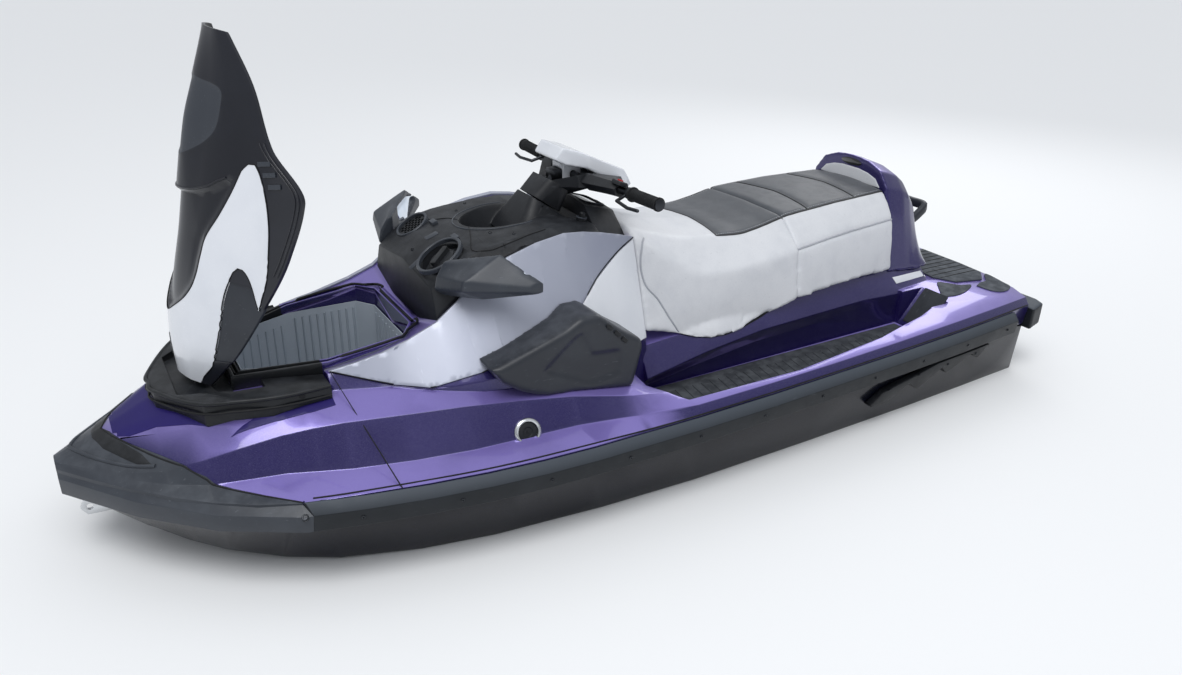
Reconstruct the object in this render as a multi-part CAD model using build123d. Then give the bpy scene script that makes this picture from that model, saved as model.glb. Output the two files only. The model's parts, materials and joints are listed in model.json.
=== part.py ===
from build123d import *
from math import cos, pi, radians, sin
import os

os.makedirs("parts", exist_ok=True)

# Three-seat personal watercraft. Millimetres. +X is the bow, +Y is port, +Z is up.
# Everything is drawn with heights above the keel line, and is set down by WATERLINE
# when it is saved, so that the origin is on the centre plane, amidships, at the
# level of the calm water.
WATERLINE = 170.0
SEAT_GAP = 0.35           # between curved faces that lie on each other
EASY_GAP = 1.0            # between parts that are pushed together by hand
BOND_Z = 360.0            # flat joint between hull and deck
TRANSOM_X = -1540.0


def save(name, shape):
    solids = shape.solids()
    made = solids[0] if len(solids) == 1 else Compound(children=list(solids))
    export_step(made.moved(Location((0, 0, -WATERLINE))), f"parts/{name}.step")


def mirrored(shape):
    return mirror(shape, about=Plane.XZ)


def both(shape):
    return Compound(children=[*shape.solids(), *mirrored(shape).solids()])


def cut(shape, *tools):
    for tool in tools:
        shape = shape - tool
    return shape


def box(x0, x1, y0, y1, z0, z1):
    made = Box(x1 - x0, y1 - y0, z1 - z0)
    return made.moved(Location(((x0 + x1) / 2, (y0 + y1) / 2, (z0 + z1) / 2)))


def rod(start, end, radius):
    a = Vector(*start)
    b = Vector(*end)
    plane = Plane(origin=a, z_dir=(b - a))
    return extrude(plane * Circle(radius), amount=(b - a).length)


def tube(start, end, outer, inner):
    return rod(start, end, outer) - rod(start, end, inner)


def plan_prism(points, z0, z1):
    outline = make_face(Polyline(*[(x, y, z0) for x, y in points], close=True))
    return extrude(outline, amount=z1 - z0, dir=(0, 0, 1))


def side_prism(points, y0, y1):
    outline = make_face(Polyline(*[(x, y0, z) for x, z in points], close=True))
    return extrude(outline, amount=y1 - y0, dir=(0, 1, 0))


def end_prism(points, x0, x1):
    outline = make_face(Polyline(*[(x0, y, z) for y, z in points], close=True))
    return extrude(outline, amount=x1 - x0, dir=(1, 0, 0))


def section(x, half, grow=0.0):
    # half: the starboard-to-port outline's port half, from the bottom up
    port = [(x, y, z) for y, z in half]
    starboard = [(x, -y, z) for y, z in reversed(half) if y > 0.01]
    face = make_face(Polyline(*port, *starboard, close=True))
    if grow:
        face = offset(face, amount=grow, kind=Kind.INTERSECTION)
    return face


def slopes(xs, ys):
    # end-to-end slopes that never overshoot the table's own values
    steps = [(b - a) for a, b in zip(xs, xs[1:])]
    rise = [(b - a) / h for a, b, h in zip(ys, ys[1:], steps)]
    inner = []
    for (d0, d1), (h0, h1) in zip(zip(rise, rise[1:]), zip(steps, steps[1:])):
        if d0 * d1 <= 0:
            inner.append(0.0)
        else:
            w0, w1 = 2 * h1 + h0, h1 + 2 * h0
            inner.append((w0 + w1) / (w0 / d0 + w1 / d1))
    return [rise[0], *inner, rise[-1]]


def fair(rows, between=1):
    # adds stations between those of a table, on a smooth curve through them
    flat = [[row[0], *[v for pair in row[1:] for v in pair]] for row in rows]
    xs = [row[0] for row in flat]
    columns = [list(col) for col in zip(*[row[1:] for row in flat])]
    tangents = [slopes(xs, col) for col in columns]
    result = []
    for k in range(len(xs) - 1):
        h = xs[k + 1] - xs[k]
        for n in range(between + 1):
            t = n / (between + 1)
            row = []
            for col, m in zip(columns, tangents):
                a = (1 + 2 * t) * (1 - t) ** 2 * col[k] + t * (1 - t) ** 2 * h * m[k]
                b = t * t * (3 - 2 * t) * col[k + 1] + t * t * (t - 1) * h * m[k + 1]
                row.append(a + b)
            result.append((xs[k] + t * h, *list(zip(row[::2], row[1::2]))))
    return [*result, rows[-1]]


def skin(rows, grow=0.0, between=1):
    return loft([section(x, half, grow) for x, *half in fair(rows, between)], ruled=True)


# hull
# x, keel, inner strake, chine, top edge: (half width, height)
HULL = [
    (TRANSOM_X, (0, 0), (270, 62), (500, 165), (512, BOND_Z)),
    (-900, (0, 0), (285, 66), (528, 168), (562, BOND_Z)),
    (0, (0, 0), (300, 74), (545, 172), (590, BOND_Z)),
    (650, (0, 2), (280, 80), (500, 172), (572, BOND_Z)),
    (1050, (0, 22), (215, 92), (400, 178), (478, BOND_Z)),
    (1300, (0, 98), (140, 142), (262, 205), (388, BOND_Z)),
    (1470, (0, 205), (75, 226), (140, 268), (225, BOND_Z)),
    (1600, (0, 322), (18, 330), (34, 342), (52, BOND_Z)),
]

TUNNEL_R = 92.0
TUNNEL_Z = 128.0
TUNNEL_X = (-1560.0, -1010.0)
ENGINE = (-330.0, 330.0, 210.0, 90.0, 350.0)      # x0, x1, half width, z0, z1
BAY_GAP = 30.0

hull = skin(HULL)
ex0, ex1, ey, ez0, ez1 = ENGINE
bay = box(ex0 - BAY_GAP, ex1 + BAY_GAP, -ey - BAY_GAP, ey + BAY_GAP, ez0, BOND_Z + 1)
tunnel = rod((TUNNEL_X[0], 0, TUNNEL_Z), (TUNNEL_X[1], 0, TUNNEL_Z), TUNNEL_R)
BAY_HALF = 150.0
BUCKET_PIN = (-1500.0, TUNNEL_Z)
GATE_R = (128.0, 134.0)   # inner and outer radius of the reverse gate, about its pins
GATE_ROOM = (3.0, 36.0)   # what the bay leaves over the gate, and ahead of it
BAY_TOP = BUCKET_PIN[1] + GATE_R[1] + GATE_ROOM[0]
STEP_X = BUCKET_PIN[0] + GATE_R[1] + GATE_ROOM[1]     # forward end of the open pump bay
BUCKET_PIN_R = 8.0
PIN_FIT = 0.05
PIN_IN = 20.0             # how far the bucket's pins enter the bay walls
pump_bay = box(TRANSOM_X - 5, STEP_X, -BAY_HALF, BAY_HALF, -20, BAY_TOP)
pin_far = BAY_HALF + PIN_IN + 2
pin_way = rod((BUCKET_PIN[0], -pin_far, BUCKET_PIN[1]), (BUCKET_PIN[0], pin_far, BUCKET_PIN[1]),
              BUCKET_PIN_R + PIN_FIT)
pump_bay = pump_bay + pin_way
# the intake rises from the keel into the tunnel
INTAKE_X = (-1010.0, -640.0)
INTAKE_HALF = 78.0
ramp = side_prism(
    [(INTAKE_X[0] - 60, -15), (INTAKE_X[1], -15), (INTAKE_X[1], 12), (INTAKE_X[0] - 60,
        TUNNEL_Z + TUNNEL_R - 4)],
    -INTAKE_HALF, INTAKE_HALF)
SHAFT_R = 12.0
RUN_GAP = 6.0             # between turning parts and what is fixed
shaft_way = rod((TUNNEL_X[1] - 5, 0, TUNNEL_Z), (ex0, 0, TUNNEL_Z), SHAFT_R + RUN_GAP)
hull = cut(hull, bay, tunnel, pump_bay, ramp, shaft_way)
save("hull", hull)
save("engine_block", box(ex0, ex1, -ey, ey, ez0, ez1))

# deck
# x, bond edge, side crease, lower scoop crease, upper scoop crease, ridge, shoulder, middle
DECK = [
    (TRANSOM_X, (512, BOND_Z), (520, 436), (500, 462), (440, 480), (330, 492), (200, 498), (0, 500)),
    (-1120, (545, BOND_Z), (556, 436), (538, 464), (470, 482), (340, 496), (200, 504), (0, 506)),
    (-500, (578, BOND_Z), (588, 436), (574, 462), (520, 476), (340, 490), (200, 500), (0, 504)),
    (50, (594, BOND_Z), (604, 436), (590, 464), (520, 478), (340, 500), (200, 512), (0, 516)),
    (400, (590, BOND_Z), (602, 436), (510, 454), (484, 532), (380, 560), (260, 580), (0, 590)),
    (700, (564, BOND_Z), (578, 436), (490, 453), (436, 556), (340, 592), (240, 612), (0, 622)),
    (1000, (504, BOND_Z), (520, 434), (426, 452), (376, 560), (290, 598), (236, 622), (0, 630)),
    (1150, (452, BOND_Z), (478, 430), (366, 451), (340, 545), (268, 592), (215, 606), (0, 612)),
    (1330, (362, BOND_Z), (372, 428), (318, 447), (290, 500), (205, 548), (140, 572), (0, 584)),
    (1490, (214, BOND_Z), (222, 430), (196, 443), (180, 452), (84, 501), (50, 510), (0, 516)),
    (1645, (24, BOND_Z + 22), (28, 428), (22, 440), (18, 444), (12, 448), (6, 450), (0, 451)),
]
# seam between the bow cap and the deck, in plan, from port to starboard
CAP_SEAM = [(1085, 620), (1145, 478), (1358, 282), (1488, 90), (1527, 0)]

body = skin(DECK)
seam_port = CAP_SEAM
seam_star = [(x, -y) for x, y in reversed(CAP_SEAM[:-1])]
ahead = plan_prism([*seam_port, *seam_star, (1800, -620), (1800, 620)], 300, 700)
bow_cap = body & ahead
deck = body - ahead

# footwells, each side of the seat base
WELL = [(150, 300), (150, 470), (60, 560), (-360, 562), (-760, 520), (-1000, 470), (-1090, 440), (-1090, 290)]
WELL_FLOOR = 372.0
well = plan_prism(WELL, WELL_FLOOR, 900)
# the aft end of each well is a ramp up to the platform
RAMP = (-1085.0, -1200.0, 305.0, 436.0)           # x at the foot, x at the top, y inside, y outside
ramp_top = 507.0
ramp_cut = side_prism([(RAMP[0] + 10, WELL_FLOOR), (RAMP[0], WELL_FLOOR), (RAMP[1], ramp_top), (RAMP[1], 700),
                       (RAMP[0] + 10, 700)], RAMP[2], RAMP[3])
deck = cut(deck, well, mirrored(well), ramp_cut, mirrored(ramp_cut))

# front storage opening
STORE_X = (735.0, 1190.0)
STORE_HALF = (204.0, 120.0)
STORE_FLOOR = 372.0


def store_outline(grow):
    x0, x1 = STORE_X[0] - grow, STORE_X[1] + grow
    a, b = STORE_HALF[0] + grow, STORE_HALF[1] + grow
    xm = x0 + 0.55 * (x1 - x0)
    half = [(x0, a - 60), (x0 + 40, a), (xm, a), (x1, b), (x1, 0)]
    return [*half, *[(x, -y) for x, y in reversed(half[:-1])]]


deck = deck - plan_prism(store_outline(0), STORE_FLOOR, 900)

# centre body
# the raised shoulders that carry the side panels and the console
# x, foot, lower edge, upper edge, top
CORE = [
    (40, (330, 372), (300, 560), (205, 846), (0, 800)),
    (170, (390, 372), (352, 580), (225, 884), (0, 800)),
    (300, (430, 372), (400, 600), (240, 905), (0, 800)),
    (480, (434, 372), (414, 602), (252, 868), (0, 780)),
    (560, (432, 372), (412, 602), (256, 832), (0, 740)),
    (700, (400, 372), (380, 590), (262, 722), (0, 640)),
    (860, (330, 372), (318, 588), (266, 668), (0, 620)),
    (1000, (300, 372), (285, 590), (252, 642), (0, 610)),
]
core = skin(CORE)
nose_hole = plan_prism(store_outline(0), STORE_FLOOR, 900)
deck = cut(deck + core, nose_hole)
deck = cut(deck, box(-200, 39, -700, 700, 900, 1200))

# seat base: the pedestal between the footwells
# x, foot, waist, top edge, middle
BASE = [
    (-1260, (300, 366), (290, 470), (215, 560), (0, 566)),
    (-900, (270, 366), (300, 500), (240, 600), (0, 606)),
    (-400, (250, 366), (330, 500), (290, 560), (0, 590)),
    (60, (280, 366), (350, 440), (300, 530), (0, 600)),
]
base = skin(BASE)
deck = deck + base
save("deck", deck)

# rub rails
RAIL_DEEP = 22.0
RAIL_Z = (348.0, 432.0)


def rail_face(x, y, deep=RAIL_DEEP, gap=SEAT_GAP):
    pts = [
        (y + gap, RAIL_Z[0]),
        (y + deep, RAIL_Z[0] + 10),
        (y + deep + 6, RAIL_Z[1] - 26),
        (y + gap + 5, RAIL_Z[1]),
        (y + gap, RAIL_Z[1]),
    ]
    return make_face(Polyline(*[(x, y, z) for y, z in pts], close=True))


rail = loft([rail_face(row[0], row[2][0]) for row in fair(DECK[:8])], ruled=True)
rail = cut(rail, hull, body, ahead, box(-1800, -1440, 0, 900, 0, 900))
rail = max(rail.solids(), key=lambda s: s.volume)
save("rub_rails", both(rail))
# the bow cap carries the line of the rails on round the bow
BAND_DEEP = [(1000, 22), (1150, 22), (1330, 20), (1490, 15), (1645, 5)]
band_rows = [(x, row[2][0], deep) for row in DECK for x, deep in BAND_DEEP if row[0] == x]
band = loft([rail_face(x, y - 20, deep + 20) for x, y, deep in band_rows], ruled=True) & ahead
band = cut(band, skin(HULL, SEAT_GAP))
bow_cap = bow_cap + band + mirrored(band)
save("bow_cap", max(bow_cap.solids(), key=lambda s: s.volume))

# side panels: shells that lie on the shoulders of the centre body
PANEL_WALL = 6.0
PANEL_EDGE = [(1000, 650), (850, 604), (760, 592), (610, 622), (386, 702), (305, 719), (219, 777), (113, 827),
              (42, 850), (36, 930), (420, 960), (640, 870), (770, 760), (900, 710)]
core_near = skin(CORE, SEAT_GAP)
core_far = skin(CORE, SEAT_GAP + PANEL_WALL)


def top_strip(inset):
    # plan of the centre body's top between its upper edges, less the inset
    port = [(row[0], row[3][0] - inset) for row in fair(CORE)]
    port = [(port[0][0] - 200, port[0][1]), *port, (port[-1][0] + 200, port[-1][1])]
    return plan_prism([*port, *[(x, -y) for x, y in reversed(port)]], 300, 1200)


PANEL_LAP = 8.0           # how far the side panels turn over the upper edge
panel_zone = side_prism(PANEL_EDGE, 120, 600)
side_panel = (core_far - core_near - top_strip(PANEL_LAP)) & panel_zone
side_panel = max(side_panel.solids(), key=lambda s: s.volume)
side_panel = cut(side_panel, deck)
side_panel = max(side_panel.solids(), key=lambda s: s.volume)
save("side_panel_port", side_panel)
save("side_panel_starboard", mirrored(side_panel))

# knee panels: they carry the line of the side panels on to the seat
KNEE_EDGE = [(384, 700), (303, 716), (217, 774), (111, 824), (42, 847), (42, 560), (150, 560), (300, 600),
             (376, 640)]
knee = (skin(CORE, SEAT_GAP + PANEL_WALL - 1) - core_near - top_strip(PANEL_LAP)) & side_prism(KNEE_EDGE,
        120, 600)
knee = max(knee.solids(), key=lambda s: s.volume)
knee = cut(knee, side_prism([(x, z - EASY_GAP) for x, z in PANEL_EDGE], 100, 620), skin(DECK), skin(BASE,
        SEAT_GAP))
knee = max(knee.solids(), key=lambda s: s.volume)
save("knee_panels", both(knee))

# side pods below the panels
POD = [(604, 609), (632, 652), (414, 723), (364, 750), (309, 746), (235, 689), (166, 644), (160, 619), (200,
        461),
       (360, 486), (546, 569)]
POD_Y = (330.0, 470.0)
pod = side_prism(POD, *POD_Y)
pod = chamfer(pod.faces().sort_by(Axis.Y)[-1].edges(), 12)
# the stepped hollow in each pod's outer face
hollow = side_prism([(486, 618), (400, 690), (364, 712), (330, 640), (240, 632), (236, 560), (330, 545)],
                    POD_Y[1] - 9,
                    POD_Y[1] + 20)
pod = pod - hollow
pod = cut(pod, core_near, skin(CORE, PANEL_WALL + 3 * SEAT_GAP), skin(BASE, SEAT_GAP), skin(DECK, SEAT_GAP))
pod = max(pod.solids(), key=lambda s: s.volume)
save("side_pods", both(pod))

# stern corner bumpers
CAP = [(-1646, 330), (-1646, 480), (-1628, 520), (-1500, 556), (-1440, 560), (-1440, 330)]
stern = plan_prism(CAP, 345, 428) - box(TRANSOM_X, -1300, 200, 700, 300, 500)
stern = cut(stern, skin(HULL, SEAT_GAP), skin(DECK, SEAT_GAP))
save("stern_caps", both(max(stern.solids(), key=lambda s: s.volume)))

# storage bin, an open tub that hangs in the front opening
BIN_GAP = 4.0
BIN_WALL = 3.0
BIN_FLOOR = STORE_FLOOR
BIN_TOP = 640.0
bin_out = plan_prism(store_outline(-BIN_GAP), BIN_FLOOR, BIN_TOP)
bin_in = plan_prism(store_outline(-BIN_GAP - BIN_WALL), BIN_FLOOR + BIN_WALL, BIN_TOP + 5)
storage_bin = bin_out - bin_in
save("storage_bin", storage_bin)

# rim and seal round the storage opening
RIM_WIDE = 26.0
RIM_LINE = [(1300, 626), (735, 692), (700, 694)]
core_clear = skin(CORE, PANEL_WALL + 3 * SEAT_GAP)


def under_line(points, drop=0.0):
    x_ends = (points[0][0], points[-1][0])
    return side_prism([(x_ends[0], 540), *[(x, z - drop) for x, z in points], (x_ends[1], 540)], -400, 400)


rim = (plan_prism(store_outline(RIM_WIDE), 560, 720) - plan_prism(store_outline(0), 500,
        900)) & under_line(RIM_LINE)
# the seal lies in a channel between an outer and an inner lip
channel = plan_prism(store_outline(16), 560, 900) - plan_prism(store_outline(6), 500, 950)
rim = rim - (channel - under_line(RIM_LINE, 9))
rim = cut(rim, core_clear, skin(DECK, SEAT_GAP))
rim = max(rim.solids(), key=lambda s: s.volume)
save("storage_rim", rim)

# black surround at the hinge of the hood
COWL = [(1003, 300), (1150, 292), (1300, 225), (1395, 60), (1400, 0)]
cowl_half = [*COWL, *[(x, -y) for x, y in reversed(COWL[:-1])]]
COWL_LINE = [(1410, 600), (1240, 627), (980, 632)]
cowl = plan_prism(cowl_half, 540, 660) - plan_prism(store_outline(RIM_WIDE + EASY_GAP), 500, 900)
cowl = cowl & under_line(COWL_LINE)
HOOD_FOOT = (1310.0, 0.0, 640.0)      # where the hood's own length is counted from
HOOD_PIN = (1286.0, 0.0, 684.0)
HOOD_PIN_R = 6.0
# plan of the tray that the foot of the hood drops into, port half
TRAY = [(1150, 0), (1150, 218), (1226, 204), (1346, 124), (1346, 0)]
TRAY_FLOOR = 594.0
EAR = (40.0, 52.0)                    # y of each hinge ear of the cowl
tray = plan_prism([*TRAY, *[(x, -y) for x, y in reversed(TRAY[1:-1])]], TRAY_FLOOR, 900)
cowl = cut(cowl, tray, core_clear, skin(DECK, SEAT_GAP))
cowl = max(cowl.solids(), key=lambda s: s.volume)
ear_foot = plan_prism([(1336, 0), (1336, EAR[1]), (1260, EAR[1]), (1260, 0)], 560, TRAY_FLOOR)
ear_foot = ear_foot + mirrored(ear_foot)
cowl = cowl + ear_foot
for sign in (-1, 1):
    y0, y1 = sorted((sign * EAR[0], sign * EAR[1]))
    ear = side_prism([(1254, 590), (1290, 590), (HOOD_PIN[0] + 11, HOOD_PIN[2]), (HOOD_PIN[0] + 6,
        HOOD_PIN[2] + 9),
                      (HOOD_PIN[0] - 6, HOOD_PIN[2] + 9), (HOOD_PIN[0] - 11, HOOD_PIN[2])], y0, y1)
    cowl = cowl + ear
hinge_hole = rod((HOOD_PIN[0], -200, HOOD_PIN[2]), (HOOD_PIN[0], 200, HOOD_PIN[2]), HOOD_PIN_R + PIN_FIT)
cowl = cut(cowl, skin(DECK, SEAT_GAP), plan_prism(store_outline(RIM_WIDE + EASY_GAP), 500, 900), hinge_hole)
cowl = max(cowl.solids(), key=lambda s: s.volume)
save("hood_cowl", cowl)

# hood, drawn along its own length u, with y to the side and w out of its face
HOOD_LEAN = 11.7          # how far the open hood leans aft of upright
HOOD_WALL = 9.0
# u, middle, ridge, crease, edge: (half width, height)
HOOD = [
    (-20, (0, 8), (60, -6), (90, -30), (112, -52)),
    (90, (0, 34), (84, 16), (160, -58), (188, -88)),
    (220, (0, 44), (92, 22), (208, -98), (238, -128)),
    (380, (0, 38), (98, 6), (244, -128), (296, -164)),
    (520, (0, 37), (104, -8), (246, -128), (320, -178)),
    (620, (0, 34), (104, -14), (190, -86), (232, -118)),
    (750, (0, 16), (92, -16), (150, -62), (168, -80)),
    (856, (0, 0), (70, -8), (92, -22), (100, -30)),
]


def hood_section(u, middle, ridge, crease, edge, wall=0.0, drop=0.0):
    pts = [
        (0.0, middle[1] - wall),
        (ridge[0] - 0.3 * wall, ridge[1] - wall),
        (crease[0] - 0.8 * wall, crease[1] - 0.8 * wall),
        (edge[0] - wall, edge[1] - drop),
    ]
    full = [*[(-y, w) for y, w in reversed(pts[1:])], *pts]
    return make_face(Polyline(*[(u, y, w) for y, w in full], close=True))


hood_plane = Plane(
    origin=HOOD_FOOT,
    x_dir=(-sin(radians(HOOD_LEAN)), 0, cos(radians(HOOD_LEAN))),
    z_dir=(cos(radians(HOOD_LEAN)), 0, sin(radians(HOOD_LEAN))))
hood_rows = fair(HOOD)
hood_out = loft([hood_section(*row) for row in hood_rows], ruled=True)
inner_rows = [(hood_rows[0][0] + 14, *hood_rows[0][1:]), *hood_rows[1:-1], (hood_rows[-1][0] - 12, *hood_rows[-1][1:])]
hood_in = loft([hood_section(*row, wall=HOOD_WALL, drop=40.0) for row in inner_rows], ruled=True)
hood = hood_out - hood_in
# slots in the foot of the hood, where the cowl's hinge ears pass
SLOT_GAP = 6.0
for y0, y1 in ((EAR[0] - SLOT_GAP, EAR[1] + SLOT_GAP), (-EAR[1] - SLOT_GAP, -EAR[0] + SLOT_GAP)):
    hood = hood - box(-40, -2, y0, y1, -120, -14)
# the two-tone split of the outer face
WHITE = [(-40, 0), (115, 0), (300, 62), (380, 92), (450, 122), (560, 190), (604, 226), (575, 250), (460, 252),
         (330, 236), (300, 228), (362, 210), (368, 188), (338, 168), (220, 150), (120, 138), (-40, 100)]
INSERT = [(362, 210), (368, 188), (338, 168), (220, 150), (120, 138), (60, 118), (100, 400), (300, 400),
          (300, 228)]


def hood_zone(points, low=-400, high=200):
    port = plan_prism(points, low, high)
    return Compound(children=[*port.solids(), *mirrored(port).solids()])


white_zone = hood_zone(WHITE)
insert_zone = hood_zone(INSERT)
white = hood & white_zone
insert = (hood & insert_zone) - white_zone
black = hood - white_zone - insert_zone


def in_place(shape):
    return Compound(children=[s.moved(hood_plane.location) for s in shape.solids() if s.volume > 500])


# hinge arms inside the hood, on the pin
inner_clear = loft([hood_section(*row, wall=HOOD_WALL + SEAT_GAP, drop=40.0) for row in inner_rows],
                   ruled=True)
pin_u, pin_y, pin_w = hood_plane.to_local_coords(Vector(*HOOD_PIN))
ARM_Y = (EAR[0] - SLOT_GAP - 12, EAR[0] - SLOT_GAP)
arms = None
for y0, y1 in (ARM_Y, (-ARM_Y[1], -ARM_Y[0])):
    blade = plan_prism([(pin_u - 14, y0), (210, y0), (210, y1), (pin_u - 14, y1)], pin_w - 14, 60)
    arms = blade if arms is None else arms + blade
slope = side_prism([(pin_u + 30, pin_w - 20), (220, pin_w - 20), (220, 22)], -200, 200)
arms = (arms & inner_clear) - slope
arm_pin = rod((pin_u, -EAR[1], pin_w), (pin_u, EAR[1], pin_w), HOOD_PIN_R)
arms = arms + arm_pin
save("hood_arms", in_place(arms))
save("hood_panel", in_place(white))
save("hood_inserts", in_place(insert))
save("hood_shell", in_place(black))

# console between the side panels, with the dish and the foot of the steering neck
# x, lower edge, shoulder, middle
CONSOLE = [
    (150, (204, 800), (198, 876), (160, 894), (0, 898)),
    (300, (226, 800), (224, 904), (185, 915), (0, 918)),
    (480, (240, 790), (238, 872), (205, 900), (0, 908)),
    (560, (246, 750), (242, 838), (212, 884), (0, 892)),
    (620, (250, 690), (242, 796), (215, 858), (0, 872)),
    (690, (252, 680), (240, 735), (210, 802), (0, 826)),
]
console_zone = top_strip(PANEL_LAP + EASY_GAP)
DISH = (380.0, 900.0, 128.0, 96.0, 52.0)       # x, z, half length, half width, depth
dish = loft([
    Plane(origin=(DISH[0], 0, DISH[1] + 40)) * Ellipse(DISH[2] + 16, DISH[3] + 16),
    Plane(origin=(DISH[0], 0, DISH[1] - DISH[4])) * Ellipse(DISH[2] - 22, DISH[3] - 22),
], ruled=True)
COLUMN_FOOT = (250.0, 0.0, 935.0)
COLUMN_LEAN = 35.0
column_axis = (-sin(radians(COLUMN_LEAN)), 0, cos(radians(COLUMN_LEAN)))


def on_column(t):
    return tuple(p + t * a for p, a in zip(COLUMN_FOOT, column_axis))


neck_low = loft([
    Plane(origin=(262, 0, 860)) * RectangleRounded(230, 230, 40),
    Plane(origin=on_column(0), z_dir=column_axis) * RectangleRounded(120, 130, 30),
])
console = cut((skin(CONSOLE) & console_zone) - dish + neck_low, core_near)
POST_R = 14.0
POST_FIT = 0.5
console = console - rod(on_column(-70), on_column(5), POST_R + POST_FIT)
above_seam = extrude(Plane(origin=on_column(0.2), z_dir=column_axis) * RectangleRounded(200, 200, 30),
                     amount=40)
console = console - above_seam

VENT = ((603.0, -150.0, 872.0), 46.0)
FUEL = ((634.0, 138.0, 870.0), 44.0)
nose_up = (0.51, 0, 0.86)
vent_plane = Plane(origin=VENT[0], z_dir=nose_up)
fuel_plane = Plane(origin=FUEL[0], z_dir=nose_up)
vent_seat = extrude(vent_plane * Circle(VENT[1]), amount=-18) + extrude(vent_plane * Circle(VENT[1]),
        amount=60)
fuel_well = extrude(fuel_plane * Circle(FUEL[1] + 20),
                    amount=-34) + extrude(fuel_plane * Circle(FUEL[1] + 20), amount=60)
console = console - vent_seat - fuel_well
save("console", console)
HEX_ACROSS = 10.0         # honeycomb of the vent: size of a cell, and the web between two cells
HEX_WEB = 3.0
vent_floor = Plane(origin=vent_plane.from_local_coords((0, 0, -18)), z_dir=nose_up)
vent = extrude(vent_floor * Circle(VENT[1] - SEAT_GAP), amount=14)
pitch = HEX_ACROSS + HEX_WEB
cells = [(i * pitch + (j % 2) * pitch / 2, j * pitch * 0.866) for i in range(-4, 5) for j in range(-4, 5)]
cells = [c for c in cells if (c[0] ** 2 + c[1] ** 2) ** 0.5 < VENT[1] - 8]
cell_face = vent_floor * Sketch(children=[Pos(*c) * RegularPolygon(HEX_ACROSS / 2, 6,
        major_radius=False) for c in cells])
vent = vent - extrude(cell_face, amount=20)
save("vent_grille", vent)
cap_foot = fuel_plane.from_local_coords((0, 0, -34))
cap_plane = Plane(origin=cap_foot, z_dir=nose_up)
fuel_cap = extrude(cap_plane * Circle(FUEL[1]), amount=14)
fuel_cap = fuel_cap + extrude(cap_plane * Circle(FUEL[1] - 6), amount=22)
grip_bar = extrude(cap_plane * Rot(0, 0, 25) * RectangleRounded(70, 20, 6), amount=36)
fuel_cap = fuel_cap + grip_bar
for k in range(12):
    notch = extrude(cap_plane * Rot(0, 0, k * 30) * Pos(FUEL[1], 0) * Circle(3.5), amount=15)
    fuel_cap = fuel_cap - notch
save("fuel_cap", fuel_cap)

# mirrors on the console's front corners
# outlines from the root to the tip, each (x, z), at y
MIRROR = [
    (218, [(642, 790), (640, 842), (640, 884), (656, 880), (678, 842), (686, 806), (668, 786)]),
    (350, [(541, 806), (537, 860), (545, 925), (578, 908), (655, 866), (660, 838), (600, 806)]),
    (440, [(466, 832), (464, 858), (472, 864), (490, 862), (506, 852), (508, 842), (490, 832)]),
]
mirror_body = loft([make_face(Polyline(*[(x, y, z) for x, z in pts], close=True)) for y, pts in MIRROR],
                   ruled=True)
mirror_body = cut(mirror_body, skin(CONSOLE, SEAT_GAP), core_clear)
mirror_body = max(mirror_body.solids(), key=lambda s: s.volume)
# the glass looks aft and inboard, and is sunk a little in the housing
GLASS = [(-92, -26), (-90, 18), (-14, 44), (26, 22), (78, -2), (80, -18), (16, -34)]
GLASS_T = 3.0
glass_plane = Plane(origin=(546, 345, 866), x_dir=(-0.62, 0.78, 0), z_dir=(-0.77, -0.61, 0.1))
glass_face = glass_plane * make_face(Polyline(*GLASS, close=True))
glass_floor = glass_face.moved(Location(glass_plane.z_dir * -6))
mirror_body = mirror_body - extrude(glass_floor, amount=80, dir=glass_plane.z_dir)
mirror_body = max(mirror_body.solids(), key=lambda s: s.volume)
save("mirror_housings", both(mirror_body))
glass = extrude(glass_floor, amount=GLASS_T, dir=glass_plane.z_dir)
save("mirror_glasses", both(glass))

# steering column, handlebar and its covers: they turn together
TURN_GAP = 4.0
BAR_R = 11.0
BAR_POINTS = [(92, 400, 1010), (92, 230, 1004), (150, 90, 1016)]
post = rod(on_column(-65), on_column(98), POST_R)
neck_top = loft([
    Plane(origin=on_column(TURN_GAP), z_dir=column_axis) * RectangleRounded(112, 122, 28),
    Plane(origin=on_column(70), z_dir=column_axis) * RectangleRounded(84, 128, 24),
])
# the neck spreads into two arms that take the bar
ARM_ROOT = [(170, 955), (246, 990), (236, 1004), (146, 984)]
ARM_TIP = [(128, 992), (176, 996), (178, 1034), (128, 1034)]
for sign in (-1, 1):
    faces = [make_face(Polyline(*[(x, sign * y, z) for x, z in pts], close=True)) for y, pts in
             ((30, ARM_ROOT), (112, ARM_TIP))]
    neck_top = neck_top + loft(faces, ruled=True)
bar = rod(BAR_POINTS[0], BAR_POINTS[1], BAR_R) + rod(BAR_POINTS[1], BAR_POINTS[2], BAR_R)
bar = bar + Pos(*BAR_POINTS[1]) * Sphere(BAR_R)
cross_bar = rod((150, -90, 1016), (150, 90, 1016), BAR_R)
handlebar = bar + mirrored(bar) + cross_bar + Pos(150, 90, 1016) * Sphere(BAR_R) + Pos(150, -90,
        1016) * Sphere(BAR_R)
CLAMP = (138.0, 212.0, 26.0, 1001.0, 1031.0)      # x0, x1, half width, z0, z1
clamp = box(CLAMP[0], CLAMP[1], -CLAMP[2], CLAMP[2], CLAMP[3], CLAMP[4])
handlebar = handlebar + clamp + post
g = SEAT_GAP
grow_bar = rod((150, -95, 1016), (150, 95, 1016), BAR_R + g)
grow_bar = grow_bar + box(CLAMP[0] - g, CLAMP[1] + g, -CLAMP[2] - g, CLAMP[2] + g, CLAMP[3] - g, CLAMP[4] + g)
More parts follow.
